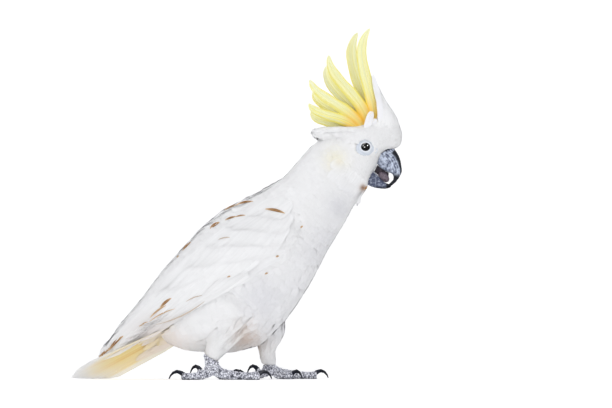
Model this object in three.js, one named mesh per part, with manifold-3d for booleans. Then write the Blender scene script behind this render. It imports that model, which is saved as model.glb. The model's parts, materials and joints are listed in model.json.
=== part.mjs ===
// A sulphur-crested cockatoo, life size, standing with its crest raised and the end of its tail on the floor.
// Millimetres, +Z up. The bird faces +X, its right side is towards -Y, and the floor is z = 0.

import * as THREE from 'three';
import { LoftGeometry } from 'three/addons/geometries/LoftGeometry.js';
import { mergeVertices } from 'three/addons/utils/BufferGeometryUtils.js';
import Module from 'manifold-3d';

const wasm = await Module();
wasm.setup();

// ---- Driving dimensions ----

const GAP = 0.35; // between neighbouring parts
const RIGHT = -1; // sign of y on the bird's right side
const LEFT = 1;
const FAR = 900; // side of a block that is larger than the bird

// The body is one oval tube from the rump to the face. Each section is spanned by a point [x, z] on its
// upper line and one on its lower line, and has a full width.
const TRUNK = [
  { top: [-105.6, 68.4], bottom: [-84, 43.2], width: 22 }, // under the tail coverts
  { top: [-88.8, 87], bottom: [-64.8, 34.8], width: 54 },
  { top: [-69.6, 114], bottom: [-37.2, 31.8], width: 78 }, // vent
  { top: [-50.4, 141], bottom: [-4.8, 31.8], width: 92 },
  { top: [-30, 167], bottom: [28.8, 40.8], width: 98 }, // belly
  { top: [-7.2, 192.5], bottom: [56.4, 68.4], width: 98 },
  { top: [15.6, 214], bottom: [75.6, 96], width: 94 }, // breast
  { top: [38.4, 230.5], bottom: [92.4, 123.6], width: 87 },
];
const NECK = [
  { top: [56.4, 243.5], bottom: [106.8, 152.4], width: 77 }, // shoulders
  { top: [68.4, 257.5], bottom: [120, 174], width: 69 },
  { top: [78, 268.8], bottom: [129.6, 189.6], width: 64 },
  { top: [86.4, 278.4], bottom: [136.8, 204], width: 60 }, // nape and throat
];
const HEAD = [
  { top: [96, 285.6], bottom: [145.2, 214.8], width: 56 },
  { top: [106, 291], bottom: [150, 221], width: 53 },
  { top: [120, 297], bottom: [155.4, 228.6], width: 54 }, // cheeks
  { top: [136.8, 303], bottom: [157.2, 234], width: 53 },
  { top: [153.6, 306], bottom: [160.2, 242.4], width: 50 }, // eyes
  { top: [170.4, 312], bottom: [165.6, 253.2], width: 44 },
  { top: [184.8, 314.4], bottom: [169.2, 262.2], width: 38 }, // forehead
  { top: [194.4, 306], bottom: [172.2, 267.6], width: 33 },
  { top: [198, 294], bottom: [177.6, 271.8], width: 27 },
  { top: [196.2, 280.8], bottom: [186, 274.8], width: 18 }, // above the bill
];
const BODY_AROUND = 20;
const SHELF_AROUND = 10;
const PLUME_AROUND = 10;
const MOUTH_AROUND = 6;
const BILL_AROUND = 12;
const NECK_BASE = { upper: [62, 249], lower: [113, 163] }; // where the neck is parted from the trunk
const NECK_TOP = { upper: [90, 282], lower: [141, 209.5] }; // where the head is parted from the neck

// Short crest feathers lie back over the nape as a shelf that stands out behind the head.
const NAPE_SHELF = [
  { top: [150, 303], bottom: [150, 290], width: 40 },
  { top: [122, 303.6], bottom: [122, 287], width: 44 },
  { top: [101, 303], bottom: [104, 285], width: 38 },
  { top: [91, 300.5], bottom: [94, 288], width: 26 },
  { top: [87.6, 297.5], bottom: [89, 292], width: 12 },
];

const UPPER_BILL = [
  { top: [178, 281], bottom: [158, 267], width: 17 },
  { top: [184.8, 279.2], bottom: [163.2, 262.8], width: 19 },
  { top: [190.8, 272.4], bottom: [168, 256.8], width: 19 },
  { top: [194.4, 264.6], bottom: [171.6, 252], width: 18 },
  { top: [196.8, 252], bottom: [181.2, 247.8], width: 14.5 },
  { top: [196, 246.6], bottom: [185.4, 246], width: 12 },
  { top: [193.2, 241.4], bottom: [186.6, 241.8], width: 9 },
  { top: [190, 237], bottom: [185.8, 238.8], width: 7 },
  { top: [184.8, 232.4], bottom: [183, 235.8], width: 5 },
  { top: [179, 230.2], bottom: [179.2, 232.4], width: 3 }, // point of the hook
];
const LOWER_BILL = [
  { top: [153, 254], bottom: [148, 237], width: 14 },
  { top: [159.6, 252.5], bottom: [154.5, 233.5], width: 17 },
  { top: [164.4, 249], bottom: [159.6, 231], width: 17.5 },
  { top: [168.6, 244.2], bottom: [165.6, 229.2], width: 17 },
  { top: [173, 238.4], bottom: [171, 228.5], width: 15.5 },
  { top: [177.4, 235.2], bottom: [176.4, 228.2], width: 14 },
  { top: [181.4, 234], bottom: [180.8, 229], width: 12 },
  { top: [184, 232.6], bottom: [183.6, 230.6], width: 8 },
];
const TONGUE = { centre: [174.8, 0, 242.6], half: [8.2, 5.2, 5.4], tilt: 0.75 };
// The lining of the mouth is a thin wall of flesh between the two halves of the bill.
const MOUTH = [
  { top: [162, 260], bottom: [159, 249], width: 7 },
  { top: [170, 256], bottom: [166, 246], width: 7 },
  { top: [177, 251], bottom: [173, 239], width: 7 },
  { top: [181, 249], bottom: [180.4, 235], width: 6 },
];
const EYE = { centre: [152.6, 19.6, 276.8], radius: 8 };

const FRONT_CREST = [
  { top: [153.6, 300], bottom: [196, 300], width: 30 },
  { top: [166, 313], bottom: [192, 313], width: 25 },
  { top: [166.6, 329], bottom: [181.2, 329], width: 18 },
  { top: [165, 341], bottom: [173.6, 341], width: 12 },
  { top: [162, 353], bottom: [167.4, 353], width: 8 },
  { top: [160, 363.6], bottom: [162.6, 363.6], width: 4 },
];

// The yellow crest feathers fan out from the crown and curl forward at their tips. Each has the points
// [x, z] its shaft passes, its broadest width and the side of the crest it grows on.
const CREST = [
  { shaft: [[163, 300], [155, 356], [148.4, 394], [155.4, 421]], width: 11, side: RIGHT },
  { shaft: [[160, 300], [146, 355], [136.8, 389], [142.4, 416.4]], width: 11.5, side: LEFT },
  { shaft: [[157, 299], [133, 346], [113, 371], [108.6, 387.6]], width: 11, side: RIGHT },
  { shaft: [[154, 298], [126, 338], [108, 361], [106.2, 376.8]], width: 11, side: LEFT },
  { shaft: [[152, 298], [124, 326], [98, 343], [85.8, 358.2]], width: 10.5, side: RIGHT },
  { shaft: [[149, 298], [121, 320], [99, 332.5], [88.8, 345.6]], width: 10, side: LEFT },
  { shaft: [[146, 297], [118, 313.5], [97, 320], [84.6, 330]], width: 10, side: RIGHT },
  { shaft: [[144, 297], [116, 307.5], [97, 312], [86.6, 322]], width: 9, side: LEFT },
];
const CREST_BLADE = {
  thickness: 6.4,
  tipThickness: 2.4,
  rootSpread: 3.7,
  tipSpread: 9,
  rootShare: 0.8, // width at the root as a share of the broadest
  tipFrom: 0.8, // where the tip starts to round off
  tipBlunt: 0.17, // width left at the very tip
  steps: 9,
  around: 6,
};

// A folded wing is a curved slab from the back line round to the flank. Each section has its upper and
// lower edge [x, z], the distance of those edges and of its bulge from the middle plane, and a depth.
const WING = [
  { top: [72, 186], bottom: [71, 158], inner: 41, outer: 45.5, hem: 41, depth: 5 }, // bend of the wing
  { top: [60, 203], bottom: [61, 139], inner: 31, outer: 51, hem: 41, depth: 12 },
  { top: [36, 214], bottom: [41, 125], inner: 15, outer: 55.5, hem: 43, depth: 20 },
  { top: [8, 209], bottom: [14, 110], inner: 4.5, outer: 57, hem: 46, depth: 26 },
  { top: [-22, 197], bottom: [-8, 100.6], inner: 4.5, outer: 56, hem: 45, depth: 29 },
  { top: [-45.6, 179], bottom: [-31.2, 90], inner: 4.5, outer: 52.5, hem: 42, depth: 29 },
  { top: [-69.6, 153.6], bottom: [-55.2, 79.2], inner: 4.5, outer: 46, hem: 38, depth: 25 },
  { top: [-93.6, 126], bottom: [-79.2, 66], inner: 4.5, outer: 38, hem: 33, depth: 18 },
  { top: [-117.6, 93.6], bottom: [-105.6, 52.8], inner: 4.5, outer: 29, hem: 27, depth: 11 },
  { top: [-141.6, 64.8], bottom: [-132, 38.4], inner: 4.5, outer: 21, hem: 21, depth: 6 },
  { top: [-158.4, 40.5], bottom: [-153.6, 28.2], inner: 5, outer: 14, hem: 15, depth: 4 },
  { top: [-167.4, 26.5], bottom: [-166.4, 23.6], inner: 8, outer: 10, hem: 10.5, depth: 3 }, // wing tip
];
const WING_ACROSS = 9; // spans across the slab
const WING_EDGE = 3; // depth of the slab at its edges

// The tail is a fan of twelve feathers taken as one blade, tilted so that the bird's left edge is the
// lower one, and bent flat where it meets the floor.
const TAIL = {
  root: [-62, 66],
  tip: [-198.6, 0],
  roll: 0.42,
  rootHalfWidth: 27,
  tipHalfWidth: 45,
  rootThickness: 12,
  tipThickness: 3,
  rounding: 0.19,
  arch: 10,
  strips: 12,
  lengthSteps: 8,
};
const BEND = 7; // height over which the feathers ease down onto the floor

// Each leg: the points [x, y, z] of its shaft from the hip down, on the bird's own side.
const LEGS = {
  right: {
    side: RIGHT, hip: [4, 27, 78], knee: [-12, 33, 57.6], heel: [-31.5, 33, 26], foot: [-28.8, 33, 13],
  },
  left: {
    side: LEFT, hip: [34, 26, 78], knee: [38, 32, 52], heel: [37, 33, 17], foot: [38.4, 33, 11.5],
  },
};
const THIGH = { hipHalf: [22, 15], kneeHalf: [18.5, 14], heelHalf: [9.5, 8.5], steps: 5, around: 12 };
const TARSUS = { half: [8.2, 7], rise: 6, around: 8 }; // the bare shank reaches up into the feathers
const FOOT_BALL = [10, 9, 7]; // half sizes of the joint where the toes meet
// Two toes point forward and two back. Turn is measured outwards from straight ahead. Lift is how far the
// end of a toe is held off the floor.
const TOES = [
  { name: 'inner_front', turn: -38, length: 35, radius: 5, claw: 14, lift: 0 },
  { name: 'outer_front', turn: 8, length: 56, radius: 5.4, claw: 15, lift: 0 },
  { name: 'outer_back', turn: 164, length: 37, radius: 5, claw: 16, lift: 0 },
  { name: 'inner_back', turn: -146, length: 20, radius: 4.6, claw: 13, lift: 6 },
];
const TOE = {
  arch: 7, // how far the middle of the foot stands off the floor
  archShare: 0.5, // part of a toe's length that is arched
  thickRoot: 1.12, // radius at the root as a share of the toe's own
  thinning: 0.3, // how much less it is at the end
  padSwell: 0.07, // how far the two pads swell
  stations: [0, 0.18, 0.36, 0.68, 1], // shares of its length that its curve passes
  steps: 6,
  around: 8,
};
const PAD_SINK = 0.6; // depth of pad flattened against the floor
// The claw's curve as [share of its length, height], then its half sizes at the root and at the point.
const CLAW = {
  arc: [[-0.22, 5], [0.3, 10], [0.75, 7.6], [1, 1.1]],
  rootHalf: [3.6, 3],
  tipHalf: [0.7, 0.6],
  steps: 5,
  around: 6,
};

// ---- Solids ----

function solidOf(geometry) {
  const bare = new THREE.BufferGeometry();
  bare.setAttribute('position', geometry.attributes.position);
  bare.setIndex(geometry.index);
  const merged = mergeVertices(bare, 1e-4);
  const mesh = new wasm.Mesh({
    numProp: 3,
    vertProperties: new Float32Array(merged.attributes.position.array),
    triVerts: new Uint32Array(merged.index.array),
  });
  return new wasm.Manifold(mesh);
}

function geometryOf(solid) {
  const mesh = solid.getMesh();
  const geometry = new THREE.BufferGeometry();
  geometry.setAttribute('position', new THREE.BufferAttribute(mesh.vertProperties, 3));
  geometry.setIndex(new THREE.BufferAttribute(mesh.triVerts, 1));
  geometry.computeVertexNormals();
  return geometry;
}

const centreOf = (ring) => (
  ring.reduce((sum, point) => sum.add(point), new THREE.Vector3()).divideScalar(ring.length)
);

// The direction from which a ring of points runs anticlockwise.
function facingOf(ring) {
  const centre = centreOf(ring);
  return ring.reduce((sum, point, i) => {
    const next = ring[(i + 1) % ring.length].clone().sub(centre);
    return sum.add(point.clone().sub(centre).cross(next));
  }, new THREE.Vector3());
}

// A closed solid through a row of sections. With grow, its two ends move out by that much.
function loft(sections, grow = 0) {
  const last = sections.length - 1;
  const middle = Math.floor(last / 2);
  const forward = centreOf(sections[middle + 1]).sub(centreOf(sections[middle]));
  const ordered = facingOf(sections[middle]).dot(forward) > 0;
  const ends = [[0, 1], [last, last - 1]].map(([end, inward]) => (
    [end, centreOf(sections[end]).sub(centreOf(sections[inward])).setLength(grow)]
  ));
  ends.forEach(([end, outwards]) => sections[end].forEach((point) => point.add(outwards)));
  const rings = ordered ? sections : sections.map((ring) => ring.slice().reverse());
  return solidOf(new LoftGeometry(rings, { capStart: true, capEnd: true }));
}

function ovalRing(centre, up, out, halfUp, halfOut, around) {
  return Array.from({ length: around }, (_, i) => {
    const angle = 2 * Math.PI * i / around;
    return centre.clone()
      .addScaledVector(up, halfUp * Math.cos(angle))
      .addScaledVector(out, halfOut * Math.sin(angle));
  });
}

// An oval tube through stations of the middle plane, smoothed between them.
function ovalTube(stations, around, perStation, grow = 0) {
  const curve = (key) => new THREE.CatmullRomCurve3(stations.map((station) => (
    new THREE.Vector3(station[key][0], station.width / 2, station[key][1])
  )));
  const upper = curve('top');
  const lower = curve('bottom');
  const steps = (stations.length - 1) * perStation;
  const sections = [];
  for (let i = 0; i <= steps; i += 1) {
    const top = upper.getPoint(i / steps);
    const bottom = lower.getPoint(i / steps);
    const halfWidth = top.y;
    top.y = 0;
    bottom.y = 0;
    const centre = top.clone().add(bottom).divideScalar(2);
    const up = top.clone().sub(centre);
    const halfHeight = up.length();
    up.normalize();
    const across = new THREE.Vector3(0, 1, 0);
    sections.push(ovalRing(centre, up, across, halfHeight + grow, halfWidth + grow, around));
  }
  return loft(sections, grow);
}

// An oval tube along a curve. size(t) gives its half height and half width, and across its width axis.
function sweep(points, across, size, steps, around, grow = 0) {
  const path = new THREE.CatmullRomCurve3(points);
  const sections = [];
  for (let i = 0; i <= steps; i += 1) {
    const t = i / steps;
    const along = path.getTangent(t);
    const up = new THREE.Vector3().crossVectors(along, across).normalize();
    const out = new THREE.Vector3().crossVectors(up, along).normalize();
    const [halfUp, halfOut] = size(t);
    sections.push(ovalRing(path.getPoint(t), up, out, halfUp + grow, halfOut + grow, around));
  }
  return loft(sections, grow);
}

function ellipsoid(centre, half, tilt, grow = 0, around = 12) {
  const geometry = new THREE.SphereGeometry(1, around, around * 0.75);
  geometry.scale(half[0] + grow, half[1] + grow, half[2] + grow);
  geometry.rotateY(tilt);
  geometry.translate(...centre);
  return solidOf(geometry);
}

// Everything on the head side (direction 1) or the tail side (-1) of a plane across the body, whose
// trace in the middle plane runs from a lower to an upper point.
function sideOf({ upper, lower }, direction) {
  const trace = new THREE.Vector2(upper[0] - lower[0], upper[1] - lower[1]);
  const block = new THREE.BoxGeometry(FAR, FAR, FAR);
  block.translate(direction * (FAR + GAP) / 2, 0, 0);
  block.rotateY(Math.PI / 2 - trace.angle());
  block.translate((upper[0] + lower[0]) / 2, 0, (upper[1] + lower[1]) / 2);
  return solidOf(block);
}

const mix = THREE.MathUtils.lerp;
const without = (solid, ...cutters) => cutters.reduce((rest, cutter) => rest.subtract(cutter), solid);
const largestPiece = (solid) => (
  solid.decompose().reduce((best, piece) => (piece.volume() > best.volume() ? piece : best))
);

// ---- Head, neck and trunk ----

const wholeBody = (grow = 0) => ovalTube([...TRUNK, ...NECK, ...HEAD], BODY_AROUND, 1, grow);
const napeShelf = (grow = 0) => ovalTube(NAPE_SHELF, SHELF_AROUND, 1, grow);
const upperBill = (grow = 0) => ovalTube(UPPER_BILL, BILL_AROUND, 2, grow);
const lowerBill = (grow = 0) => ovalTube(LOWER_BILL, BILL_AROUND, 1, grow);
const mouthWall = (grow = 0) => ovalTube(MOUTH, MOUTH_AROUND, 1, grow);
const frontCrest = (grow = 0) => ovalTube(FRONT_CREST, PLUME_AROUND, 1, grow);

function eye(side, grow = 0) {
  const [x, y, z] = EYE.centre;
  const half = [EYE.radius, EYE.radius, EYE.radius];
  return ellipsoid([x, y * side, z], half, 0, grow);
}

const tongueBlade = (grow = 0) => ellipsoid(TONGUE.centre, TONGUE.half, TONGUE.tilt, grow);
const tongue = () => without(tongueBlade(), upperBill(GAP), lowerBill(GAP));

// The hook of the upper bill lies in a notch of the lower one.
const lowerBillHorn = () => largestPiece(without(lowerBill(), upperBill(GAP)));

const mouth = () => largestPiece(
  without(mouthWall(), upperBill(GAP), lowerBill(GAP), tongueBlade(GAP), wholeBody(GAP)),
);

function head() {
  const whole = wholeBody().intersect(sideOf(NECK_TOP, 1)).add(napeShelf());
  return without(whole, eye(RIGHT, GAP), eye(LEFT, GAP), upperBill(GAP), lowerBill(GAP), tongueBlade(GAP));
}

const grownHead = () => wholeBody(GAP).intersect(sideOf(NECK_TOP, 1)).add(napeShelf(GAP));

function neck() {
  const length = wholeBody().intersect(sideOf(NECK_BASE, 1)).intersect(sideOf(NECK_TOP, -1));
  return length.subtract(napeShelf(GAP)).subtract(lowerBill(GAP));
}

const trunk = () => without(
  wholeBody().intersect(sideOf(NECK_BASE, -1)),
  ...Object.values(LEGS).map((leg) => thigh(leg, GAP)),
);

// ---- Crest ----

// A crest feather is broadest at half its length and rounds off at its tip.
function crestWidth(t, width) {
  const { rootShare, tipFrom, tipBlunt } = CREST_BLADE;
  const shoulder = mix(rootShare, 1, Math.sin(Math.PI * Math.min(t, 0.5)));
  const past = Math.max(0, (t - tipFrom) / (1 - tipFrom));
  return width * shoulder * Math.sqrt(1 - (1 - tipBlunt ** 2) * past ** 2);
}

function crestFeather({ shaft, width, side }, grow = 0) {
  const points = shaft.map(([x, z], i) => {
    const spread = mix(CREST_BLADE.rootSpread, CREST_BLADE.tipSpread, i / (shaft.length - 1));
    return new THREE.Vector3(x, side * spread, z);
  });
  const size = (t) => [
    crestWidth(t, width) / 2,
    mix(CREST_BLADE.thickness, CREST_BLADE.tipThickness, t) / 2,
  ];
  return sweep(points, new THREE.Vector3(0, 1, 0), size, CREST_BLADE.steps, CREST_BLADE.around, grow);
}

function crestFeathers() {
  const taken = grownHead().add(frontCrest(GAP));
  return CREST.map((feather, i) => {
    const earlier = CREST.slice(0, i).map((other) => crestFeather(other, GAP));
    return largestPiece(without(crestFeather(feather), taken, ...earlier));
  });
}

// ---- Wings and tail ----

function wingSection(station, side, grow) {
  const { inner, outer, hem, depth } = station;
  const top = new THREE.Vector3(station.top[0], 0, station.top[1]);
  const bottom = new THREE.Vector3(station.bottom[0], 0, station.bottom[1]);
  const edge = top.clone().sub(bottom).setLength(grow);
  top.add(edge);
  bottom.sub(edge);
  const bulge = outer - (inner + hem) / 2;
  const outside = [];
  const inside = [];
  for (let i = 0; i <= WING_ACROSS; i += 1) {
    const t = i / WING_ACROSS;
    const swell = Math.sin(Math.PI * t);
    const y = mix(inner, hem, t) + bulge * swell ** 0.75;
    const point = top.clone().lerp(bottom, t);
    outside.push(point.clone().setY(side * (y + grow)));
    inside.push(point.clone().setY(side * (y - mix(WING_EDGE, depth, swell) - grow)));
  }
  return [...outside, ...inside.reverse()];
}

function wing(side, grow = 0) {
  const keys = ['inner', 'outer', 'hem'];
  const edges = ['top', 'bottom'].map((key) => (
    new THREE.CatmullRomCurve3(WING.map((s) => new THREE.Vector3(s[key][0], s.depth, s[key][1])))
  ));
  const sizes = new THREE.CatmullRomCurve3(WING.map((station) => (
    new THREE.Vector3(...keys.map((key) => station[key]))
  )));
  const steps = WING.length - 1;
  const sections = [];
  for (let i = 0; i <= steps; i += 1) {
    const [top, bottom] = edges.map((curve) => curve.getPoint(i / steps));
    const [inner, outer, hem] = sizes.getPoint(i / steps).toArray();
    const station = { top: [top.x, top.z], bottom: [bottom.x, bottom.z], inner, outer, hem, depth: top.y };
    sections.push(wingSection(station, side, grow));
  }
  return loft(sections, grow);
}

// The height of a feather that would pass below the floor, eased up onto it.
function layOnFloor(z, halfThickness) {
  const clear = z - halfThickness;
  if (clear > BEND) return z;
  const eased = BEND * Math.exp((clear - BEND) / BEND);
  const lifted = clear < 0 ? 0 : Math.min(eased, clear);
  return Math.max(lifted, 0) + halfThickness;
}

// One strip of the tail at a share (-1 to 1, the bird's left to right) of its width: a thin closed ring.
function tailStrip(share) {
  const root = new THREE.Vector3(TAIL.root[0], 0, TAIL.root[1]);
  const reach = new THREE.Vector3(TAIL.tip[0], 0, TAIL.tip[1]).sub(root);
  const across = new THREE.Vector3(0, -Math.cos(TAIL.roll), Math.sin(TAIL.roll));
  const over = new THREE.Vector3().crossVectors(reach, across).normalize();
  over.multiplyScalar(Math.sign(over.z));
  const upperLine = [];
  const lowerLine = [];
  for (let i = 0; i <= TAIL.lengthSteps; i += 1) {
    const t = i / TAIL.lengthSteps * (1 - TAIL.rounding * share ** 2);
    const half = mix(TAIL.rootThickness, TAIL.tipThickness, t) / 2;
    const point = root.clone().addScaledVector(reach, t);
    point.addScaledVector(across, share * mix(TAIL.rootHalfWidth, TAIL.tipHalfWidth, t));
    point.addScaledVector(over, -TAIL.arch * share ** 2);
    point.z = layOnFloor(point.z, half);
    upperLine.push(point.clone().setZ(point.z + half));
    lowerLine.push(point.clone().setZ(point.z - half));
  }
  return [...upperLine, ...lowerLine.reverse()];
}

function tail() {
  const strips = Array.from({ length: TAIL.strips + 1 }, (_, i) => tailStrip(2 * i / TAIL.strips - 1));
  return largestPiece(without(loft(strips), wholeBody(GAP), wing(RIGHT, GAP), wing(LEFT, GAP)));
}

const foldedWing = (side) => largestPiece(wing(side).subtract(wholeBody(GAP)));

// ---- Legs ----

const placed = ([x, y, z], side) => new THREE.Vector3(x, y * side, z);

function thigh({ side, hip, knee, heel }, grow = 0) {
  const points = [hip, knee, heel].map((point) => placed(point, side));
  const halves = [THIGH.hipHalf, THIGH.kneeHalf, THIGH.heelHalf];
  const sizes = new THREE.CatmullRomCurve3(halves.map(([x, y]) => new THREE.Vector3(x, y, 0)));
  const size = (t) => sizes.getPoint(t).toArray().slice(0, 2);
  return sweep(points, new THREE.Vector3(0, 1, 0), size, THIGH.steps, THIGH.around, grow);
}

function toeHeading({ turn }, side) {
  const angle = THREE.MathUtils.degToRad(turn);
  return new THREE.Vector3(Math.cos(angle), side * Math.sin(angle), 0);
}

// A toe is arched where it leaves the foot, then lies on pads that swell twice along its length.
function toe(leg, digit, grow) {
  const heading = toeHeading(digit, leg.side);
  const start = placed(leg.foot, leg.side).setZ(0);
  const radius = (t) => (
    digit.radius * (TOE.thickRoot - TOE.thinning * t + TOE.padSwell * Math.cos(4 * Math.PI * t))
  );
  const arch = (t) => TOE.arch * Math.max(0, 1 - t / TOE.archShare) ** 1.5 + digit.lift * t;
  const points = TOE.stations.map((t) => (
    start.clone().addScaledVector(heading, t * digit.length).setZ(radius(t) - PAD_SINK + arch(t))
  ));
  const across = new THREE.Vector3(-heading.y, heading.x, 0);
  const size = (t) => [radius(t), radius(t)];
  return sweep(points, across, size, TOE.steps, TOE.around, grow);
}

function foot(leg, grow = 0) {
  const shank = [leg.heel, leg.foot].map((point) => placed(point, leg.side));
  shank[0].z += TARSUS.rise;
  const tarsus = sweep(shank, new THREE.Vector3(0, 1, 0), () => TARSUS.half, 1, TARSUS.around, grow);
  const ball = ellipsoid(placed(leg.foot, leg.side).toArray(), FOOT_BALL, 0, grow);
  const spread = TOES.reduce((solid, digit) => solid.add(toe(leg, digit, grow)), tarsus.add(ball));
  const floor = new THREE.BoxGeometry(FAR, FAR, FAR);
  floor.translate(0, 0, -FAR / 2);
  return grow > 0 ? spread : without(spread, solidOf(floor), thigh(leg, GAP));
}

// A claw arches up out of the end of its toe and comes down to a point just clear of the floor.
function claw(leg, digit) {
  const heading = toeHeading(digit, leg.side);
  const start = placed(leg.foot, leg.side).setZ(0);
  const points = CLAW.arc.map(([share, height]) => (
    start.clone().addScaledVector(heading, digit.length + share * digit.claw).setZ(height + digit.lift)
  ));
  const across = new THREE.Vector3(-heading.y, heading.x, 0);
  const size = (t) => CLAW.rootHalf.map((half, i) => mix(half, CLAW.tipHalf[i], t));
  return largestPiece(sweep(points, across, size, CLAW.steps, CLAW.around).subtract(foot(leg, GAP)));
}

// ---- The bird ----

const finish = (color, roughness) => new THREE.MeshStandardMaterial({ color, roughness, metalness: 0 });
const white = finish('#eceae6', 0.85);
const yellow = finish('#ecd873', 0.8);
const horn = finish('#55585f', 0.45);
const black = finish('#0c0b0d', 0.1);
const scale = finish('#77777c', 0.7);
const flesh = finish('#6d6472', 0.5);

const bird = new THREE.Group();

function add(name, solid, material) {
  const mesh = new THREE.Mesh(geometryOf(solid), material);
  mesh.name = name;
  bird.add(mesh);
}

add('trunk', trunk(), white);
add('neck', neck(), white);
add('head', head(), white);
add('upper_bill', upperBill(), horn);
add('lower_bill', lowerBillHorn(), horn);
add('tongue', tongue(), flesh);
add('mouth', mouth(), flesh);
add('crest_front', largestPiece(frontCrest().subtract(grownHead())), white);
crestFeathers().forEach((feather, i) => add(`crest_feather_${i + 1}`, feather, yellow));
add('tail', tail(), white);

Object.entries(LEGS).forEach(([name, leg]) => {
  add(`eye_${name}`, eye(leg.side), black);
  add(`wing_${name}`, foldedWing(leg.side), white);
  add(`thigh_${name}`, thigh(leg), white);
  add(`foot_${name}`, foot(leg), scale);
  TOES.forEach((digit) => add(`claw_${name}_${digit.name}`, claw(leg, digit), horn));
});

export default bird;
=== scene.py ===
# %% [markdown]
# # A sulphur-crested cockatoo
# A white parrot with a raised yellow crest, standing in profile. The model has the layers of the real bird:
# a skin, thousands of small body feathers that overlap like roof tiles, long flight feathers in rows on the
# wings and tail, a crest, and bare parts of horn, scale and wet glass. Each layer is a mesh of its own.

# %% Load the fixed frame
import json
import math
import bpy
import bmesh
import numpy as np
from mathutils import Matrix, Vector, noise
from mathutils.bvhtree import BVHTree

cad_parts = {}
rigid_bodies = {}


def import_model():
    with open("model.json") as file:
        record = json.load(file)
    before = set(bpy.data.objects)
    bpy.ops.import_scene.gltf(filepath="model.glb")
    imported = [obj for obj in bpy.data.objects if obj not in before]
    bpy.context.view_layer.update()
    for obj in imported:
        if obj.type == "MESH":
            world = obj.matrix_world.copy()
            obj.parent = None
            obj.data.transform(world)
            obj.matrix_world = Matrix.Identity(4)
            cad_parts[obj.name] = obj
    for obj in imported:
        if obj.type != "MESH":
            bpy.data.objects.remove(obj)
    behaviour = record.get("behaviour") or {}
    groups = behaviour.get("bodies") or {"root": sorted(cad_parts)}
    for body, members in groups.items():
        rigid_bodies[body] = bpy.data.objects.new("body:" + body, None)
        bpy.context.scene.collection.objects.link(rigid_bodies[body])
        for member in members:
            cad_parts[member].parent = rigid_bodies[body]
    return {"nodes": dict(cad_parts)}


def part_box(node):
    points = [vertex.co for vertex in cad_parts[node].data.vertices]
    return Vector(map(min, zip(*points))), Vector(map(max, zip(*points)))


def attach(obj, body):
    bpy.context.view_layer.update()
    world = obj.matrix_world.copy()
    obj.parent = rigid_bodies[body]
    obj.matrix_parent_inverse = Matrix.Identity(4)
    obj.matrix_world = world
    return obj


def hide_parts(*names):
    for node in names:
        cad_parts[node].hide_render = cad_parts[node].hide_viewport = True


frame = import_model()
bpy.context.view_layer.update()
MM = 0.001
RIGHT, LEFT = -1, 1
SIDES = {"right": RIGHT, "left": LEFT}
chance = np.random.default_rng(7)

# %% [markdown]
# ## Studio floor
# The bird stands on white paper that rolls up into the back wall in one curve, so no line crosses the
# view. One side line of the roll is extruded across the studio, which is simpler than bending a plane.

# %% Floor
def link(obj):
    bpy.context.scene.collection.objects.link(obj)
    return obj


def new_object(name, mesh, *materials):
    obj = link(bpy.data.objects.new(name, mesh))
    for material in materials:
        mesh.materials.append(material)
    return obj


def principled(name, **inputs):
    material = bpy.data.materials.new(name)
    material.use_nodes = True
    shader = material.node_tree.nodes["Principled BSDF"]
    for key, value in inputs.items():
        shader.inputs[key.replace("_", " ")].default_value = value
    return material, material.node_tree.nodes, material.node_tree.links, shader


def mesh_from(bm, name):
    """A mesh with what a bmesh holds; the bmesh itself goes."""
    mesh = bpy.data.meshes.new(name)
    bm.to_mesh(mesh)
    bm.free()
    return mesh


def tree_from(bm):
    """A tree for nearest points and rays over what a bmesh holds; the bmesh itself goes."""
    tree = BVHTree.FromBMesh(bm)
    bm.free()
    return tree


FLOOR_HALF, WALL_DISTANCE, WALL_TOP = 5.0, 2.2, 3.2
SWEEP, SWEEP_STEPS = 0.9, 12  # radius of the roll and the number of its facets


def studio_sweep():
    bm = bmesh.new()
    line = [Vector((-FLOOR_HALF, -FLOOR_HALF, 0)), Vector((-FLOOR_HALF, WALL_DISTANCE - SWEEP, 0))]
    for step in range(1, SWEEP_STEPS + 1):
        angle = math.pi / 2 * step / SWEEP_STEPS
        away = WALL_DISTANCE - SWEEP + SWEEP * math.sin(angle)
        line.append(Vector((-FLOOR_HALF, away, SWEEP - SWEEP * math.cos(angle))))
    line.append(Vector((-FLOOR_HALF, WALL_DISTANCE, WALL_TOP)))
    verts = [bm.verts.new(p) for p in line]
    edges = [bm.edges.new(pair) for pair in zip(verts, verts[1:])]
    made = bmesh.ops.extrude_edge_only(bm, edges=edges)["geom"]
    moved = [v for v in made if isinstance(v, bmesh.types.BMVert)]
    bmesh.ops.translate(bm, verts=moved, vec=(2 * FLOOR_HALF, 0, 0))
    bmesh.ops.recalc_face_normals(bm, faces=bm.faces)
    bm.normal_update()
    if max(bm.faces, key=lambda face: face.calc_area()).normal.z < 0:
        bmesh.ops.reverse_faces(bm, faces=bm.faces)
    mesh = mesh_from(bm, "studio_sweep")
    mesh.shade_smooth()
    return mesh


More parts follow.
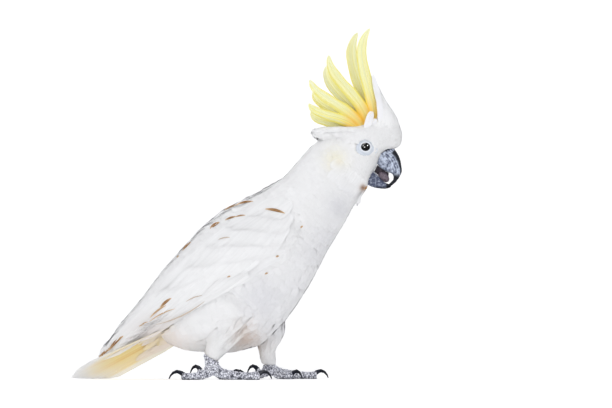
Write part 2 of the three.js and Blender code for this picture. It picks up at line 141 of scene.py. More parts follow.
def one_sided_paper():
    """White paper that is clear from behind, so that the bird shows from every side.

    It is clear to glossy rays too, so that the black eyes and horn mirror no white wall.
    """
    material, nodes, links, shader = principled("white_paper", Base_Color=(0.9, 0.9, 0.9, 1), Roughness=0.9,
                                                Emission_Color=(1, 1, 1, 1), Emission_Strength=0.3)
    geometry, ray = nodes.new("ShaderNodeNewGeometry"), nodes.new("ShaderNodeLightPath")
    unseen = nodes.new("ShaderNodeMath")
    unseen.operation = "MAXIMUM"
    links.new(geometry.outputs["Backfacing"], unseen.inputs[0])
    links.new(ray.outputs["Is Glossy Ray"], unseen.inputs[1])
    clear, either = nodes.new("ShaderNodeBsdfTransparent"), nodes.new("ShaderNodeMixShader")
    links.new(unseen.outputs["Value"], either.inputs["Fac"])
    links.new(shader.outputs["BSDF"], either.inputs[1])
    links.new(clear.outputs["BSDF"], either.inputs[2])
    links.new(either.outputs["Shader"], nodes["Material Output"].inputs["Surface"])
    return material


studio = new_object("studio_sweep", studio_sweep(), one_sided_paper())
print("floor:", len(studio.data.polygons), "faces")

# %% [markdown]
# ## Light
# A white bird on white needs soft light from all round and a little more from above and in front, so that
# its form is told by faint greys. Wide discs give soft shadows, and a dim room fills what they leave.

# %% Lamps and room
def area_light(name, place, target, size, power):
    lamp = bpy.data.lights.new(name, "AREA")
    lamp.shape = "DISK"
    lamp.size = size
    lamp.energy = power
    obj = link(bpy.data.objects.new(name, lamp))
    obj.location = place
    obj.rotation_euler = (Vector(target) - Vector(place)).to_track_quat("-Z", "Y").to_euler()


BIRD_MIDDLE, BIRD_FEET = (0.0, 0.0, 0.2), (-0.05, 0, 0.03)
# place, what the lamp faces, size in metres, power in watts
LAMPS = {
    "overhead_softbox": ((-0.6, -0.5, 2.2), BIRD_MIDDLE, 1.8, 12.8),
    "left_softbox": ((-1.8, -1.95, 1.3), BIRD_MIDDLE, 0.8, 7.3),
    "right_softbox": ((1.65, -1.95, 1.4), BIRD_MIDDLE, 0.6, 12),
    "low_fill": ((-0.5, -2.0, 0.2), BIRD_FEET, 0.5, 5),
}
for name, lamp in LAMPS.items():
    area_light(name, *lamp)

ROOM_TINT = (0.96, 0.97, 1.0, 1)
ROOM_LIGHT, ROOM_REFLECTION = 0.56, 0.05


def soft_room():
    """Light from all round that glossy rays hardly see, so that black pieces stay black."""
    world = bpy.data.worlds.new("soft_room")
    world.use_nodes = True
    nodes, links = world.node_tree.nodes, world.node_tree.links
    nodes["Background"].inputs["Color"].default_value = ROOM_TINT
    ray, dimmed = nodes.new("ShaderNodeLightPath"), nodes.new("ShaderNodeMapRange")
    dimmed.inputs["To Min"].default_value = ROOM_LIGHT
    dimmed.inputs["To Max"].default_value = ROOM_REFLECTION
    links.new(ray.outputs["Is Glossy Ray"], dimmed.inputs["Value"])
    links.new(dimmed.outputs["Result"], nodes["Background"].inputs["Strength"])
    return world


bpy.context.scene.world = soft_room()
bpy.context.scene.view_settings.view_transform = "Standard"
print("lamps:", len(LAMPS))

# %% [markdown]
# ## Camera
# A long lens from three metres away keeps the profile flat, as in a field guide plate. The lens follows
# from the width that it has to take in at the bird's middle, so the distance can change on its own.

# %% Camera
CAMERA_DISTANCE, CAMERA_HEIGHT, SENSOR_WIDTH = 3.0, 0.045, 36  # two lengths in metres, and one in mm
PICTURE_WIDTH = 0.7344  # width in metres that the render takes in at the bird's middle plane
PICTURE_CENTRE = Vector((0.0816, 0, 0.21))
camera = link(bpy.data.objects.new("camera", bpy.data.cameras.new("camera")))
camera.location = (PICTURE_CENTRE.x, -CAMERA_DISTANCE, CAMERA_HEIGHT)
sight = PICTURE_CENTRE - camera.location
camera.rotation_euler = sight.to_track_quat("-Z", "Y").to_euler()
camera.data.sensor_width = SENSOR_WIDTH
camera.data.lens = SENSOR_WIDTH * sight.length / PICTURE_WIDTH
camera.data.clip_end = 30
bpy.context.scene.camera = camera
print("lens:", round(camera.data.lens, 1), "mm")

# %% [markdown]
# ## The form under the feathers
# Feathers need one smooth surface to lie on, with no seams between head, neck, trunk and wings. The
# solids are joined, turned into small voxels, which fuses the thin gaps between them, and smoothed. This
# is the outside of the coat. A boolean union would keep a sharp corner wherever two solids meet.

# %% Fuse the solids into one form
BODY_NODES = ["trunk", "neck", "head", "thigh_right", "thigh_left"]
WING_NODES = ["wing_right", "wing_left"]
MERGE_DISTANCE = 1e-6


def applied(obj):
    """The mesh of an object with its modifiers applied; the object itself goes."""
    bpy.context.view_layer.update()
    depsgraph = bpy.context.evaluated_depsgraph_get()
    mesh = bpy.data.meshes.new_from_object(obj.evaluated_get(depsgraph))
    bpy.data.objects.remove(obj)
    return mesh


def merged_nodes(names):
    bm = bmesh.new()
    for name in names:
        bm.from_mesh(frame["nodes"][name].data)
    bmesh.ops.remove_doubles(bm, verts=bm.verts, dist=MERGE_DISTANCE)
    return bm


# points (x, z) and radii in mm along the hollow between the two folded wings, which feathers bridge
BETWEEN_WINGS = [((51, 227), 12), ((31, 213.5), 13), ((9.5, 202), 13), ((-12, 191), 13), ((-32.5, 174), 13),
                 ((-64, 138), 12), ((-101, 96), 10), ((-135.5, 54.5), 7.5), ((-153, 35.5), 5)]
FILLING_STEP = 4 * MM


def fill_between_wings(bm):
    """A chain of overlapping balls along the hollow; the voxels melt it into the wings."""
    for ((x, z), radius), ((next_x, next_z), next_radius) in zip(BETWEEN_WINGS, BETWEEN_WINGS[1:]):
        start, end = Vector((x, 0, z)) * MM, Vector((next_x, 0, next_z)) * MM
        steps = round((end - start).length / FILLING_STEP)
        for step in range(steps):
            share = step / steps
            thickness = (radius + (next_radius - radius) * share) * MM
            ball = bmesh.ops.create_icosphere(bm, subdivisions=2, radius=thickness)
            bmesh.ops.translate(bm, verts=ball["verts"], vec=start.lerp(end, share))


def fused(name, nodes, voxel, rounds, filled=False):
    """Solids melted into one mesh of small voxels and smoothed."""
    bm = merged_nodes(nodes)
    if filled:
        fill_between_wings(bm)
    obj = new_object(name, mesh_from(bm, name))
    remesh = obj.modifiers.new("fuse", "REMESH")
    remesh.mode = "VOXEL"
    remesh.voxel_size = voxel
    smooth = obj.modifiers.new("smooth", "SMOOTH")
    smooth.factor = 0.5
    smooth.iterations = rounds
    return applied(obj)


print("solids in the body:", len(BODY_NODES), "and in the wings:", len(WING_NODES))

# %% [markdown]
# ## Asking a form for its surface
# Feathers are placed by asking one thing again and again: where is the form nearest to a point, and which
# way is out of it there? A search tree answers that at once, where a test of every face would take hours.

# %% Search a form
def points_and_normals(mesh):
    points, normals = np.empty(len(mesh.vertices) * 3), np.empty(len(mesh.vertices) * 3)
    mesh.vertices.foreach_get("co", points)
    mesh.vertices.foreach_get("normal", normals)
    return points.reshape(-1, 3), normals.reshape(-1, 3)


def move_points(mesh, points):
    mesh.vertices.foreach_set("co", points.ravel())


def at_corners(values, near):
    """Values at the corners of faces, blended by how near each corner is."""
    return (values * near[:, :, None]).sum(1)


class Form:
    """A surface that can be asked for its nearest point and the direction out of it there."""

    def __init__(self, mesh):
        self.points, self.normals = points_and_normals(mesh)
        faces = [tuple(p.vertices) for p in mesh.polygons]
        self.corners = np.array([(f * 2)[:4] if len(f) == 3 else f for f in faces])
        self.tree = BVHTree.FromPolygons([Vector(p) for p in self.points], faces)
        self.mesh = mesh

    def closeness(self, found, number):
        """Weights of a face's corners for points on it, the nearest corner the heaviest."""
        return 1 / (np.linalg.norm(self.points[self.corners[number]] - found[:, None], axis=2) + 1e-6)

    def nearest(self, places):
        """Nearest points, smooth normals and face numbers for an array of places."""
        hits = [self.tree.find_nearest(Vector(place)) for place in places]
        found = np.array([hit[0] for hit in hits])
        number = np.array([hit[2] for hit in hits])
        out = at_corners(self.normals[self.corners[number]], self.closeness(found, number))
        return found, out / np.linalg.norm(out, axis=1, keepdims=True), number

    def random_points(self, count):
        """Points spread evenly over the surface."""
        quads = self.points[self.corners]
        triangles = np.concatenate([quads[:, [0, 1, 2]], quads[:, [0, 2, 3]]])
        cross = np.cross(triangles[:, 1] - triangles[:, 0], triangles[:, 2] - triangles[:, 0])
        area = np.linalg.norm(cross, axis=1)
        base = triangles[chance.choice(len(triangles), count, p=area / area.sum())]
        share = chance.random((count, 2))
        share[share.sum(1) > 1] = 1 - share[share.sum(1) > 1]
        along, across = base[:, 1] - base[:, 0], base[:, 2] - base[:, 0]
        return base[:, 0] + share[:, :1] * along + share[:, 1:] * across


print("functions of a form:", [name for name in vars(Form) if not name.startswith("_")])

# %% [markdown]
# ## Where one group of feathers ends
# The thigh feathers end over the belly in a soft step, and the feathers of the shank lie close to the bone.
# Both are sculpted into the form: each point sinks by a bell curve of its distance from a line. Moving the
# points is gentler than cutting, and the feathers that are laid later simply follow the crease.

# %% Crease and slim the form
# side, line (x, z) seen from the side, width and depth, in mm; the left thigh stands further forward
CREASES = [
    (RIGHT, [(-9, 101), (6, 92), (19, 80), (17, 72), (9, 64), (-4, 52), (-16, 38)], 4.0, 3.6),
    (RIGHT, [(-42, 36), (-37, 50), (-26, 57), (-6, 62)], 3.0, 2.2),
    (LEFT, [(13, 101), (28, 92), (40, 80), (39, 72), (34, 64), (26, 52)], 4.0, 2.6),
]


def creased(mesh):
    """Sinks narrow creases into a form, where one group of feathers ends over the next."""
    points, normals = points_and_normals(mesh)
    for side, line, width, depth in CREASES:
        line, seen = np.array(line) * MM, points[:, [0, 2]]
        gap = np.full(len(points), 1.0)
        for start, end in zip(line, line[1:]):
            reach = end - start
            along = ((seen - start) @ reach / (reach ** 2).sum()).clip(0, 1)
            gap = np.minimum(gap, np.linalg.norm(seen - start - along[:, None] * reach, axis=1))
        facing = (side * normals[:, 1] * 1.6 - 0.3).clip(0, 1) * (side * points[:, 1] > 0)
        sink = depth * MM * np.exp(-(gap / (width * MM)) ** 2) * facing
        points = points - normals * sink[:, None]
    move_points(mesh, points)
    mesh.update()
    return mesh


SHANK_AXIS, SHANK_MIDDLE, SHANK_REACH = 33 * MM, 34 * MM, 13 * MM
SHANK_DRAWN_IN = 0.36


def slimmed(mesh):
    """Draws in the front of the left shank, where the feathers lie close to the bone."""
    points, _ = points_and_normals(mesh)
    ahead = (points[:, 0] - SHANK_AXIS).clip(0, None) * (points[:, 1] * LEFT > 0)
    share = SHANK_DRAWN_IN * np.exp(-((points[:, 2] - SHANK_MIDDLE) / SHANK_REACH) ** 2)
    points[:, 0] -= ahead * share
    move_points(mesh, points)
    mesh.update()
    return mesh


coat_form = Form(slimmed(creased(fused("coat_form", BODY_NODES + WING_NODES, 2.4 * MM, 9, filled=True))))
wing_forms = {side: Form(fused(f"wing_form_{side}", [f"wing_{side}"], 1.6 * MM, 6)) for side in SIDES}
front_crest_form = Form(fused("front_crest_form", ["crest_front", "head"], 1.6 * MM, 6))
print("coat form:", len(coat_form.points), "points; wing form:", len(wing_forms["right"].points))

# %% [markdown]
# ## How the coat lies
# Feathers point away from the bill and towards the tail, are tiny round the face and grow longer over the
# neck, back and breast. A few dozen guides say which way a feather lies and how large it is at one place;
# everywhere else the guides are blended by distance. Directions are then laid into the surface.

# %% Guides for direction and size
# place (x, distance from the middle, z) in mm; lie (x, out, z); length, width, depth of the coat in mm
COAT_GUIDES = [
    ((197, 4, 300), (-0.35, 0.0, 0.95), 6.0, 3.2, 1.2),  # forehead
    ((196, 6, 284), (-0.3, 0.1, 0.95), 3.2, 1.9, 0.7),  # above the bill
    ((184, 14, 280), (-0.7, 0.2, 0.65), 3.4, 2.0, 0.7),
    ((186, 12, 306), (-0.45, 0.1, 0.9), 9.0, 4.2, 1.6),  # foot of the white plume
    ((172, 17, 290), (-0.85, 0.1, 0.5), 6.0, 3.2, 1.2),  # brow
    ((155, 22, 293), (-0.97, 0.0, 0.2), 7.5, 3.8, 1.6),
    ((172, 18, 268), (-0.95, 0.2, -0.1), 2.8, 1.7, 0.6),  # in front of the eye
    ((163, 20, 257), (-0.85, 0.25, -0.45), 4.0, 2.4, 0.9),  # gape
    ((150, 24, 258), (-0.85, 0.15, -0.5), 6.0, 3.4, 1.5),  # cheek
    ((132, 27, 270), (-0.9, 0.1, -0.4), 9.0, 4.6, 2.2),  # ear
    ((130, 20, 302), (-1.0, 0.0, 0.03), 14.0, 6.0, 3.0),  # crown
    ((98, 16, 298), (-1.0, 0.0, -0.05), 13.0, 6.0, 3.0),  # shelf over the nape
    ((156, 6, 232), (-0.45, 0.1, -0.89), 4.2, 2.4, 1.0),  # chin
    ((150, 16, 240), (-0.7, 0.15, -0.7), 6.5, 3.4, 1.8),
    ((141, 10, 214), (-0.5, 0.1, -0.87), 11.0, 4.6, 2.8),  # throat
    ((118, 26, 238), (-0.7, 0.05, -0.71), 12.0, 6.0, 3.0),  # side of the neck
    ((84, 12, 270), (-0.7, 0.05, -0.71), 12.0, 6.0, 3.0),  # nape
    ((62, 22, 244), (-0.76, 0.05, -0.65), 17.0, 8.5, 3.6),  # mantle
    ((25, 10, 220), (-0.86, 0.0, -0.5), 22.0, 11.0, 4.0),
    ((-10, 8, 205), (-0.84, 0.0, -0.55), 26.0, 12.0, 4.0),  # back
    ((126, 12, 188), (-0.48, 0.05, -0.88), 14.0, 7.0, 3.6),  # upper breast
    ((100, 32, 165), (-0.56, 0.05, -0.83), 16.0, 8.0, 4.0),
    ((84, 15, 118), (-0.5, 0.05, -0.86), 19.0, 9.0, 4.6),  # breast
    ((62, 40, 120), (-0.62, 0.05, -0.78), 20.0, 9.5, 4.6),
    ((52, 10, 62), (-0.72, 0.0, -0.69), 21.0, 9.0, 4.8),  # belly
    ((20, 38, 82), (-0.86, 0.05, -0.5), 22.0, 9.5, 4.8),
    ((10, 0, 36), (-1.0, 0.0, -0.1), 21.0, 8.0, 4.8),
    ((-30, 42, 72), (-0.9, 0.0, -0.42), 22.0, 9.0, 4.6),  # flank
    ((-50, 20, 36), (-1.0, 0.0, 0.05), 21.0, 8.0, 4.4),  # vent
    ((-90, 12, 50), (-0.9, 0.0, -0.43), 24.0, 10.0, 3.2),  # under tail coverts
]
# The two legs stand at different places, so each has guides of its own, with the side named first.
LEG_GUIDES = [
    (RIGHT, (-2, 38, 72), (-0.55, 0.0, -0.83), 15.0, 7.0, 3.2),
    (RIGHT, (-22, 40, 50), (-0.5, 0.0, -0.86), 9.0, 4.2, 1.8),
    (RIGHT, (-33, 40, 29), (-0.1, 0.0, -1.0), 6.0, 3.2, 1.2),
    (LEFT, (36, 38, 62), (-0.15, 0.0, -0.99), 13.0, 6.0, 3.0),
    (LEFT, (37, 40, 38), (0.0, 0.0, -1.0), 8.5, 4.2, 1.8),
    (LEFT, (37, 40, 20), (0.0, 0.0, -1.0), 6.0, 3.2, 1.2),
]


def guide_table():
    rows = [(side, *guide) for guide in COAT_GUIDES for side in (RIGHT, LEFT)] + LEG_GUIDES
    places = np.array([(x, side * y, z) for side, (x, y, z), *_ in rows]) * MM
    lies = np.array([(x, side * y, z) for side, _, (x, y, z), *_ in rows])
    sizes = np.array([row[3:] for row in rows]) * MM
    return places, lies, sizes


GUIDE_PLACES, GUIDE_LIES, GUIDE_SIZES = guide_table()
GUIDE_BLUR, GUIDE_FALLOFF = 3 * MM, 1.7


def coat_at(places):
    """Direction of the feathers and their length, width and depth at an array of places."""
    gap = ((places[:, None] - GUIDE_PLACES[None]) ** 2).sum(2)
    weight = 1 / (gap + GUIDE_BLUR ** 2) ** GUIDE_FALLOFF
    weight /= weight.sum(1, keepdims=True)
    return weight @ GUIDE_LIES, weight @ GUIDE_SIZES


def laid_flat(directions, normals):
    flat = directions - (directions * normals).sum(1, keepdims=True) * normals
    return flat / np.linalg.norm(flat, axis=1, keepdims=True)


print("guides:", len(GUIDE_PLACES))

# %% [markdown]
# ## Skin
# The skin copies the form and moves inwards by the depth of the coat, which is least round the eyes, at
# the bill and at the ankles. It also carries an unwrap of its own shape. Every feather later takes the
# place of its root on that unwrap, so that a baked texture keeps neighbouring feathers together.

# %% Move the form inwards
UNWRAP_ANGLE, UNWRAP_MARGIN = math.radians(70), 0.01


def skin_mesh():
    mesh = coat_form.mesh.copy()
    depth = coat_at(coat_form.points)[1][:, 2:]
    move_points(mesh, coat_form.points - coat_form.normals * depth)
    mesh.update()
    return mesh


def unwrapped(obj, name):
    """Smart UV islands of a mesh, in a map of this name."""
    obj.data.uv_layers.new(name=name)
    bpy.context.view_layer.objects.active = obj
    bpy.ops.object.select_all(action="DESELECT")
    obj.select_set(True)
    bpy.ops.object.mode_set(mode="EDIT")
    bpy.ops.mesh.select_all(action="SELECT")
    bpy.ops.uv.smart_project(angle_limit=UNWRAP_ANGLE, island_margin=UNWRAP_MARGIN)
    bpy.ops.object.mode_set(mode="OBJECT")


skin = new_object("skin", skin_mesh())
skin.data.shade_smooth()
unwrapped(skin, "OFBake")
skin_form = Form(skin.data)
skin_uv = np.empty(len(skin.data.loops) * 2)
skin.data.uv_layers["OFBake"].data.foreach_get("uv", skin_uv)
skin_uv = skin_uv.reshape(-1, 2)
skin_first_loop = np.array([p.loop_start for p in skin.data.polygons])
print("skin:", len(skin.data.polygons), "faces")

# %% [markdown]
# ## A feather as a mesh
# A feather is a shaft with a vane of fine barbs on each side. Barbs hook together near the shaft and part
# at the rim, which makes the rim soft. Here a vane is a fan of narrow strips that touch each other over
# most of their length and end in separate points. One pattern of rows and strips serves thousands of
# feathers, so its arrays are worked out once; an operator per feather would be far too slow.

# %% Pattern of one vane
class Pattern:
    """Rows along a feather, and strips across it that part towards the tip."""

    def __init__(self, rows, widths, strips, parting, notch):
        self.rows = np.array(rows)
        self.widths = np.array(widths)
        self.strips = strips
        self.notch = notch  # how unequal the tips of the strips are, as a share of the length
        last = len(rows) - 1
        place, middle, offset, strip, faces = [], [], [], [], []
        half = 1 / strips
        for number in range(strips):
            centre = -1 + (2 * number + 1) * half
            first = len(place)
            for row in range(last):
                place += [row, row]
                middle += [centre, centre]
                offset += [-half, half]
                strip += [number, number]
            place.append(last)
            middle.append(centre)
            offset.append(0.0)
            strip.append(number)
            faces += [(first + 2 * r, first + 2 * r + 1, first + 2 * r + 3, first + 2 * r + 2)
                      for r in range(last - 1)]
            tip = first + 2 * (last - 1)
            faces.append((tip, tip + 1, tip + 2))
        self.place, self.strip = np.array(place), np.array(strip)
        self.middle, self.offset = np.array(middle), np.array(offset)
        self.across = self.middle + self.offset
        self.open = parting * (self.place / (last - 1)).clip(0, 1) ** 3
        self.loops = np.array([v for face in faces for v in face])
        self.loop_counts = np.array([len(face) for face in faces])

    def spread(self, count):
        """Place across the vane of each point, from -1 to 1, with strips parted by chance."""
        parted = self.open * chance.uniform(0.2, 1.8, (count, self.strips))[:, self.strip]
        return self.middle + self.offset * (1 - parted.clip(0, 1))


BODY_VANE = Pattern([0, 0.3, 0.62, 0.92, 1.0], [0.5, 0.9, 1.0, 0.78, 0.5], 5, 0.08, 0.03)
HEAD_VANE = Pattern([0, 0.45, 0.88, 1.0], [0.5, 1.0, 0.8, 0.45], 3, 0.1, 0.04)
print("faces in a body vane:", len(BODY_VANE.loop_counts))
print("faces in a face vane:", len(HEAD_VANE.loop_counts))

# %% [markdown]
# ## Vanes that follow the body
# A real feather springs from the skin and lies over the next ones, bent by the body under it. Each spine
# is traced in short steps: a step along the lie, then back to the nearest point of the form. The root is
# sunk to the skin and the tip lifted a little, so every row covers the roots of the next like a tile.

# %% Trace spines and spread vanes over them
def traced(form, roots, lies, lengths, rows):
    """Spines that follow the form from each root, and the normals and side directions along them."""
    place, normal, _ = form.nearest(roots)
    along = laid_flat(lies, normal)
    spine, out = [place], [normal]
    for step in np.diff(rows):
        place, normal, _ = form.nearest(place + along * (lengths * step)[:, None])
        along = laid_flat(along, normal)
        spine.append(place)
        out.append(normal)
    spine, out = np.stack(spine, 1), np.stack(out, 1)
    heading = np.gradient(spine, axis=1)
    side = np.cross(heading, out)
    side /= np.linalg.norm(side, axis=2, keepdims=True) + 1e-12
    return spine, out, side


def vane_points(pattern, spine, out, side, width, depth, lift, camber, ruffle):
    """Points of feathers on traced spines: roots sink by depth and tips stand off the form by lift."""
    rows = pattern.rows[pattern.place]
    count = len(spine)
    across = pattern.spread(count)
    wide = width[:, None] / 2 * pattern.widths[pattern.place] * across
    height = -depth[:, None] * (1 - rows) ** 3.2 + lift[:, None] * rows ** 2
    height = height - camber * np.abs(wide) * across ** 2
    height = height + chance.normal(0, ruffle, (count, pattern.strips))[:, pattern.strip] * rows ** 2
    length = np.linalg.norm(spine[:, -1] - spine[:, 0], axis=1)
    heading = spine[:, -1] - spine[:, -2]
    heading /= np.linalg.norm(heading, axis=1, keepdims=True) + 1e-12
    uneven = chance.uniform(-pattern.notch, pattern.notch, (count, pattern.strips))[:, pattern.strip]
    uneven = uneven * (pattern.place == len(pattern.rows) - 1) * length[:, None]
    points = spine[:, pattern.place] + side[:, pattern.place] * wide[:, :, None]
    return points + out[:, pattern.place] * height[:, :, None] + heading[:, None] * uneven[:, :, None]


print("feathers are traced in", len(BODY_VANE.rows) - 1, "steps")

# %% [markdown]
# ## Many feathers in one mesh
# Ten thousand objects would be slow, so the feathers of a region are one mesh: their points, faces, colours
# and texture places are gathered in arrays and handed over in one go. A small feather is a patch of one
# texel block on the unwrap of the skin at its root, so feathers that grow together stay together in a bake.

# %% Gather feathers into a mesh
UNWRAP_PATCH = 0.003


def root_places(roots):
    """Where roots lie on the skin's unwrap."""
    found, _, face = skin_form.nearest(roots)
    near = skin_form.closeness(found, face)
    loops = skin_first_loop[face][:, None] + np.arange(4)
    return at_corners(skin_uv[loops], near) / near.sum(1, keepdims=True)


def paint(mesh, colours, name="Paint"):
    layer = mesh.attributes.new(name, "FLOAT_COLOR", "POINT")
    layer.data.foreach_set("color", np.column_stack([colours.clip(0, 1), np.ones(len(colours))]).ravel())


class Coat:
    """Feathers gathered into one mesh, with a colour for each point and a patch of OFBake for each feather.

    A small feather's patch lies at its root on the skin's unwrap. Long feathers, which are few and change
    colour along their length, each have a tile of their own instead: tiles is how many lie side by side.
    """

    def __init__(self, name, tiles=0):
        self.name = name
        self.tiles = tiles
        self.feathers = 0
        self.points, self.colours, self.loops, self.counts, self.uvs = [], [], [], [], []
        self.vanes = []
        self.total = 0

    def add(self, pattern, points, colours, roots):
        """points: feathers x pattern points x 3; colours the same; roots: feathers x 3."""
        feathers, size = points.shape[:2]
        starts = self.total + np.arange(feathers)[:, None] * size
        self.loops.append((starts + pattern.loops[None]).ravel())
        self.counts.append(np.tile(pattern.loop_counts, feathers))
        self.points.append(points.reshape(-1, 3))
        self.colours.append(colours.reshape(-1, 3))
        vane = np.stack([0.5 + 0.5 * pattern.across, pattern.rows[pattern.place]], 1)
        if self.tiles:
            row, column = np.divmod(self.feathers + np.arange(feathers), self.tiles)
            spot = (np.stack([column, row], 1)[:, None] + 0.05 + 0.9 * vane) / self.tiles
        else:
            spot = root_places(roots)[:, None] + UNWRAP_PATCH * (vane - 0.5)
        self.uvs.append(spot[:, pattern.loops].reshape(-1, 2))
        self.vanes.append(np.tile(vane[pattern.loops], (feathers, 1)))
        self.total += feathers * size
        self.feathers += feathers

    def build(self, *materials):
        mesh = bpy.data.meshes.new(self.name)
        points = np.concatenate(self.points)
        loops, counts = np.concatenate(self.loops), np.concatenate(self.counts)
        mesh.vertices.add(len(points))
        mesh.vertices.foreach_set("co", points.ravel())
        mesh.loops.add(len(loops))
        mesh.loops.foreach_set("vertex_index", loops)
        mesh.polygons.add(len(counts))
        mesh.polygons.foreach_set("loop_start", np.concatenate([[0], np.cumsum(counts)[:-1]]))
        for layer, values in (("OFBake", self.uvs), ("Vane", self.vanes)):
            mesh.uv_layers.new(name=layer).data.foreach_set("uv", np.concatenate(values).ravel())
        paint(mesh, np.concatenate(self.colours), "Plumage")
        mesh.update(calc_edges=True)
        mesh.validate()
        mesh.shade_smooth()
        obj = new_object(self.name, mesh, *materials)
        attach(obj, "root")
        print(f"{self.name}: {self.feathers} feathers, {int((counts - 2).sum())} triangles")
        return obj


# %% [markdown]
# ## Colours of the plumage
# The bird is not one white. Feathers get a painted shade, a little warm and grey, at their hidden bases and
# are cleaner at their tips, the ear coverts are tinged with lemon, and the feathers under the tail are
# flushed with pink. Painted shade also greys the throat, breast and belly, and darkens the belly between
# the legs and the flank under the wing, and a spot of painted light brightens the left shank.

# %% Tints by place
WHITE = np.array((0.845, 0.845, 0.85))
# painted shade for the hidden bases of feathers, which lie under the next ones
BASE_PAINTED_SHADE = np.array((0.80, 0.785, 0.77))
EAR_TINT = np.array((0.85, 0.81, 0.60))
FLUSH = np.array((0.84, 0.76, 0.72))
# painted shade for the throat, breast and belly, which face down and away from the lamps
BREAST_PAINTED_SHADE = np.array((0.70, 0.70, 0.73))
PLUME_GREY = np.array((0.82, 0.82, 0.84))
# painted shade, warm brown, on the belly between the legs
BELLY_PAINTED_SHADE = np.array((0.50, 0.37, 0.29))
# painted shade of the wing on the flank below it
FLANK_PAINTED_SHADE = np.array((0.79, 0.73, 0.69))
SOILED_EAR = np.array((0.82, 0.70, 0.52))
SOILED_CHIN = np.array((0.24, 0.11, 0.04))
# place (x, z) in mm, radius in mm, colour, strength
TINT_SHADE_AND_LIGHT_SPOTS = [
    ((123, 266), 13, EAR_TINT, 0.6),
    ((121, 259), 4, SOILED_EAR, 0.25),
    ((-100, 42), 26, FLUSH, 0.8),
    ((-62, 38), 22, FLUSH, 0.7),
    # painted shade on the belly between the legs
    ((24, 55), 18, BELLY_PAINTED_SHADE, 0.8),
    # painted light: a white a little brighter than the coat lifts the left shank out of the belly's shade
    ((38, 38), 12, WHITE * 1.02, 0.9),
    # painted shade where the wing shades the flank
    ((-76, 52), 13, FLANK_PAINTED_SHADE, 0.6),
    # painted shade on the throat, the breast and the belly
    ((100, 160), 22, BREAST_PAINTED_SHADE, 0.5),
    ((116, 178), 18, BREAST_PAINTED_SHADE, 0.5),
    ((126, 212), 14, BREAST_PAINTED_SHADE, 0.8),
    ((42, 108), 24, BREAST_PAINTED_SHADE, 0.8),
    ((84, 120), 24, BREAST_PAINTED_SHADE, 0.35),
    ((50, 75), 24, BREAST_PAINTED_SHADE, 0.35),
    ((166, 350), 26, PLUME_GREY, 0.9),
    ((150, 228.5), 4.2, SOILED_CHIN, 1.0),
]
BRIGHTEST, VARIED = 0.95, 0.012  # the lightest value of any vane, and how much vanes differ


def mixed(first, second, share):
    return first + (second - first) * share[:, None]


def plumage_colours(places):
    """The white of the coat, with tints, painted shade and painted light at named places, for an array of
    places.
    """
    colour = np.tile(WHITE, (len(places), 1))
    for (x, z), radius, tint, strength in TINT_SHADE_AND_LIGHT_SPOTS:
        gap = np.hypot(places[:, 0] - x * MM, places[:, 2] - z * MM) / (radius * MM)
        colour = mixed(colour, tint, strength * np.exp(-gap ** 2))
    return colour


def feather_colours(pattern, roots):
    """One colour for each feather, with a painted shade, warm and grey, towards its hidden base."""
    rows = pattern.rows[pattern.place]
    base = plumage_colours(roots) * (1 + chance.normal(0, VARIED, (len(roots), 1)))
    share = (0.3 * (1 - rows) ** 1.5)[None, :, None]
    shaded_base = base * (BASE_PAINTED_SHADE / WHITE)
    return np.clip(base[:, None] * (1 - share) + shaded_base[:, None] * share, 0, BRIGHTEST)


print("tinted spots:", len(TINT_SHADE_AND_LIGHT_SPOTS))

# %% [markdown]
# ## Body feathers
# Roots are thrown at the surface and kept only where the last feather is far enough away, so they are even
# but not in rows. Places that the wings, the bill or the bare ring round the eye cover get none.

# %% Choose the roots
EYE_PLACE, EYE_OUT, EYE_RADIUS = Vector((152.6, 0, 276.8)) * MM, 19.6 * MM, 8 * MM
BARE_RING = (12.0 * MM, 9.6 * MM)  # half length and half height of the bare skin round the eye
BARE_RING_SHIFT = Vector((1.2, 0, -1.2)) * MM
ANKLES = {RIGHT: 25 * MM, LEFT: 15.5 * MM}  # below these the legs are bare
FACE_HALF, WING_OUTSIDE = 12 * MM, 30 * MM  # further out than these is the side of the face or of a wing


def scattered(places, spacing):
    """Numbers of the places to keep, no two nearer than their spacing."""
    cell = spacing.max()
    grid, kept = {}, []
    for i, place in enumerate(places):
        key = tuple((place // cell).astype(int))
        around = [grid.get((key[0] + a, key[1] + b, key[2] + c), ())
                  for a in (-1, 0, 1) for b in (-1, 0, 1) for c in (-1, 0, 1)]
        near = [j for group in around for j in group]
        if near and (((places[near] - place) ** 2).sum(1) < spacing[i] ** 2).any():
            continue
        grid.setdefault(key, []).append(i)
        kept.append(i)
    return np.array(kept)


def on_bare_skin(places):
    centre = EYE_PLACE + BARE_RING_SHIFT
    ring = np.hypot((places[:, 0] - centre.x) / BARE_RING[0], (places[:, 2] - centre.z) / BARE_RING[1]) < 1
    eye_side = np.abs(places[:, 1]) > FACE_HALF
    ankle = np.where(places[:, 1] < 0, ANKLES[RIGHT], ANKLES[LEFT])
    return (ring & eye_side) | (places[:, 2] < ankle)


def inside_node(places, names, grow):
    """Places inside a CAD solid, or nearer to it than grow."""
    tree = tree_from(merged_nodes(names))
    inside = []
    for place in places:
        point, normal, _, gap = tree.find_nearest(Vector(place))
        behind = (Vector(place) - point).dot(normal) < 0
        inside.append(behind or gap < grow)
    return np.array(inside)


WING_TIP = (-148, 24)  # behind and above this (x, z) in mm there are only flight feathers
# outline (x, z) in mm of the part of a folded wing that lies under its own long feathers
UNDER_WING = [(56, 150), (48, 184), (8, 194), (-32, 168), (-90, 112), (-156, 34), (21, 120.5)]


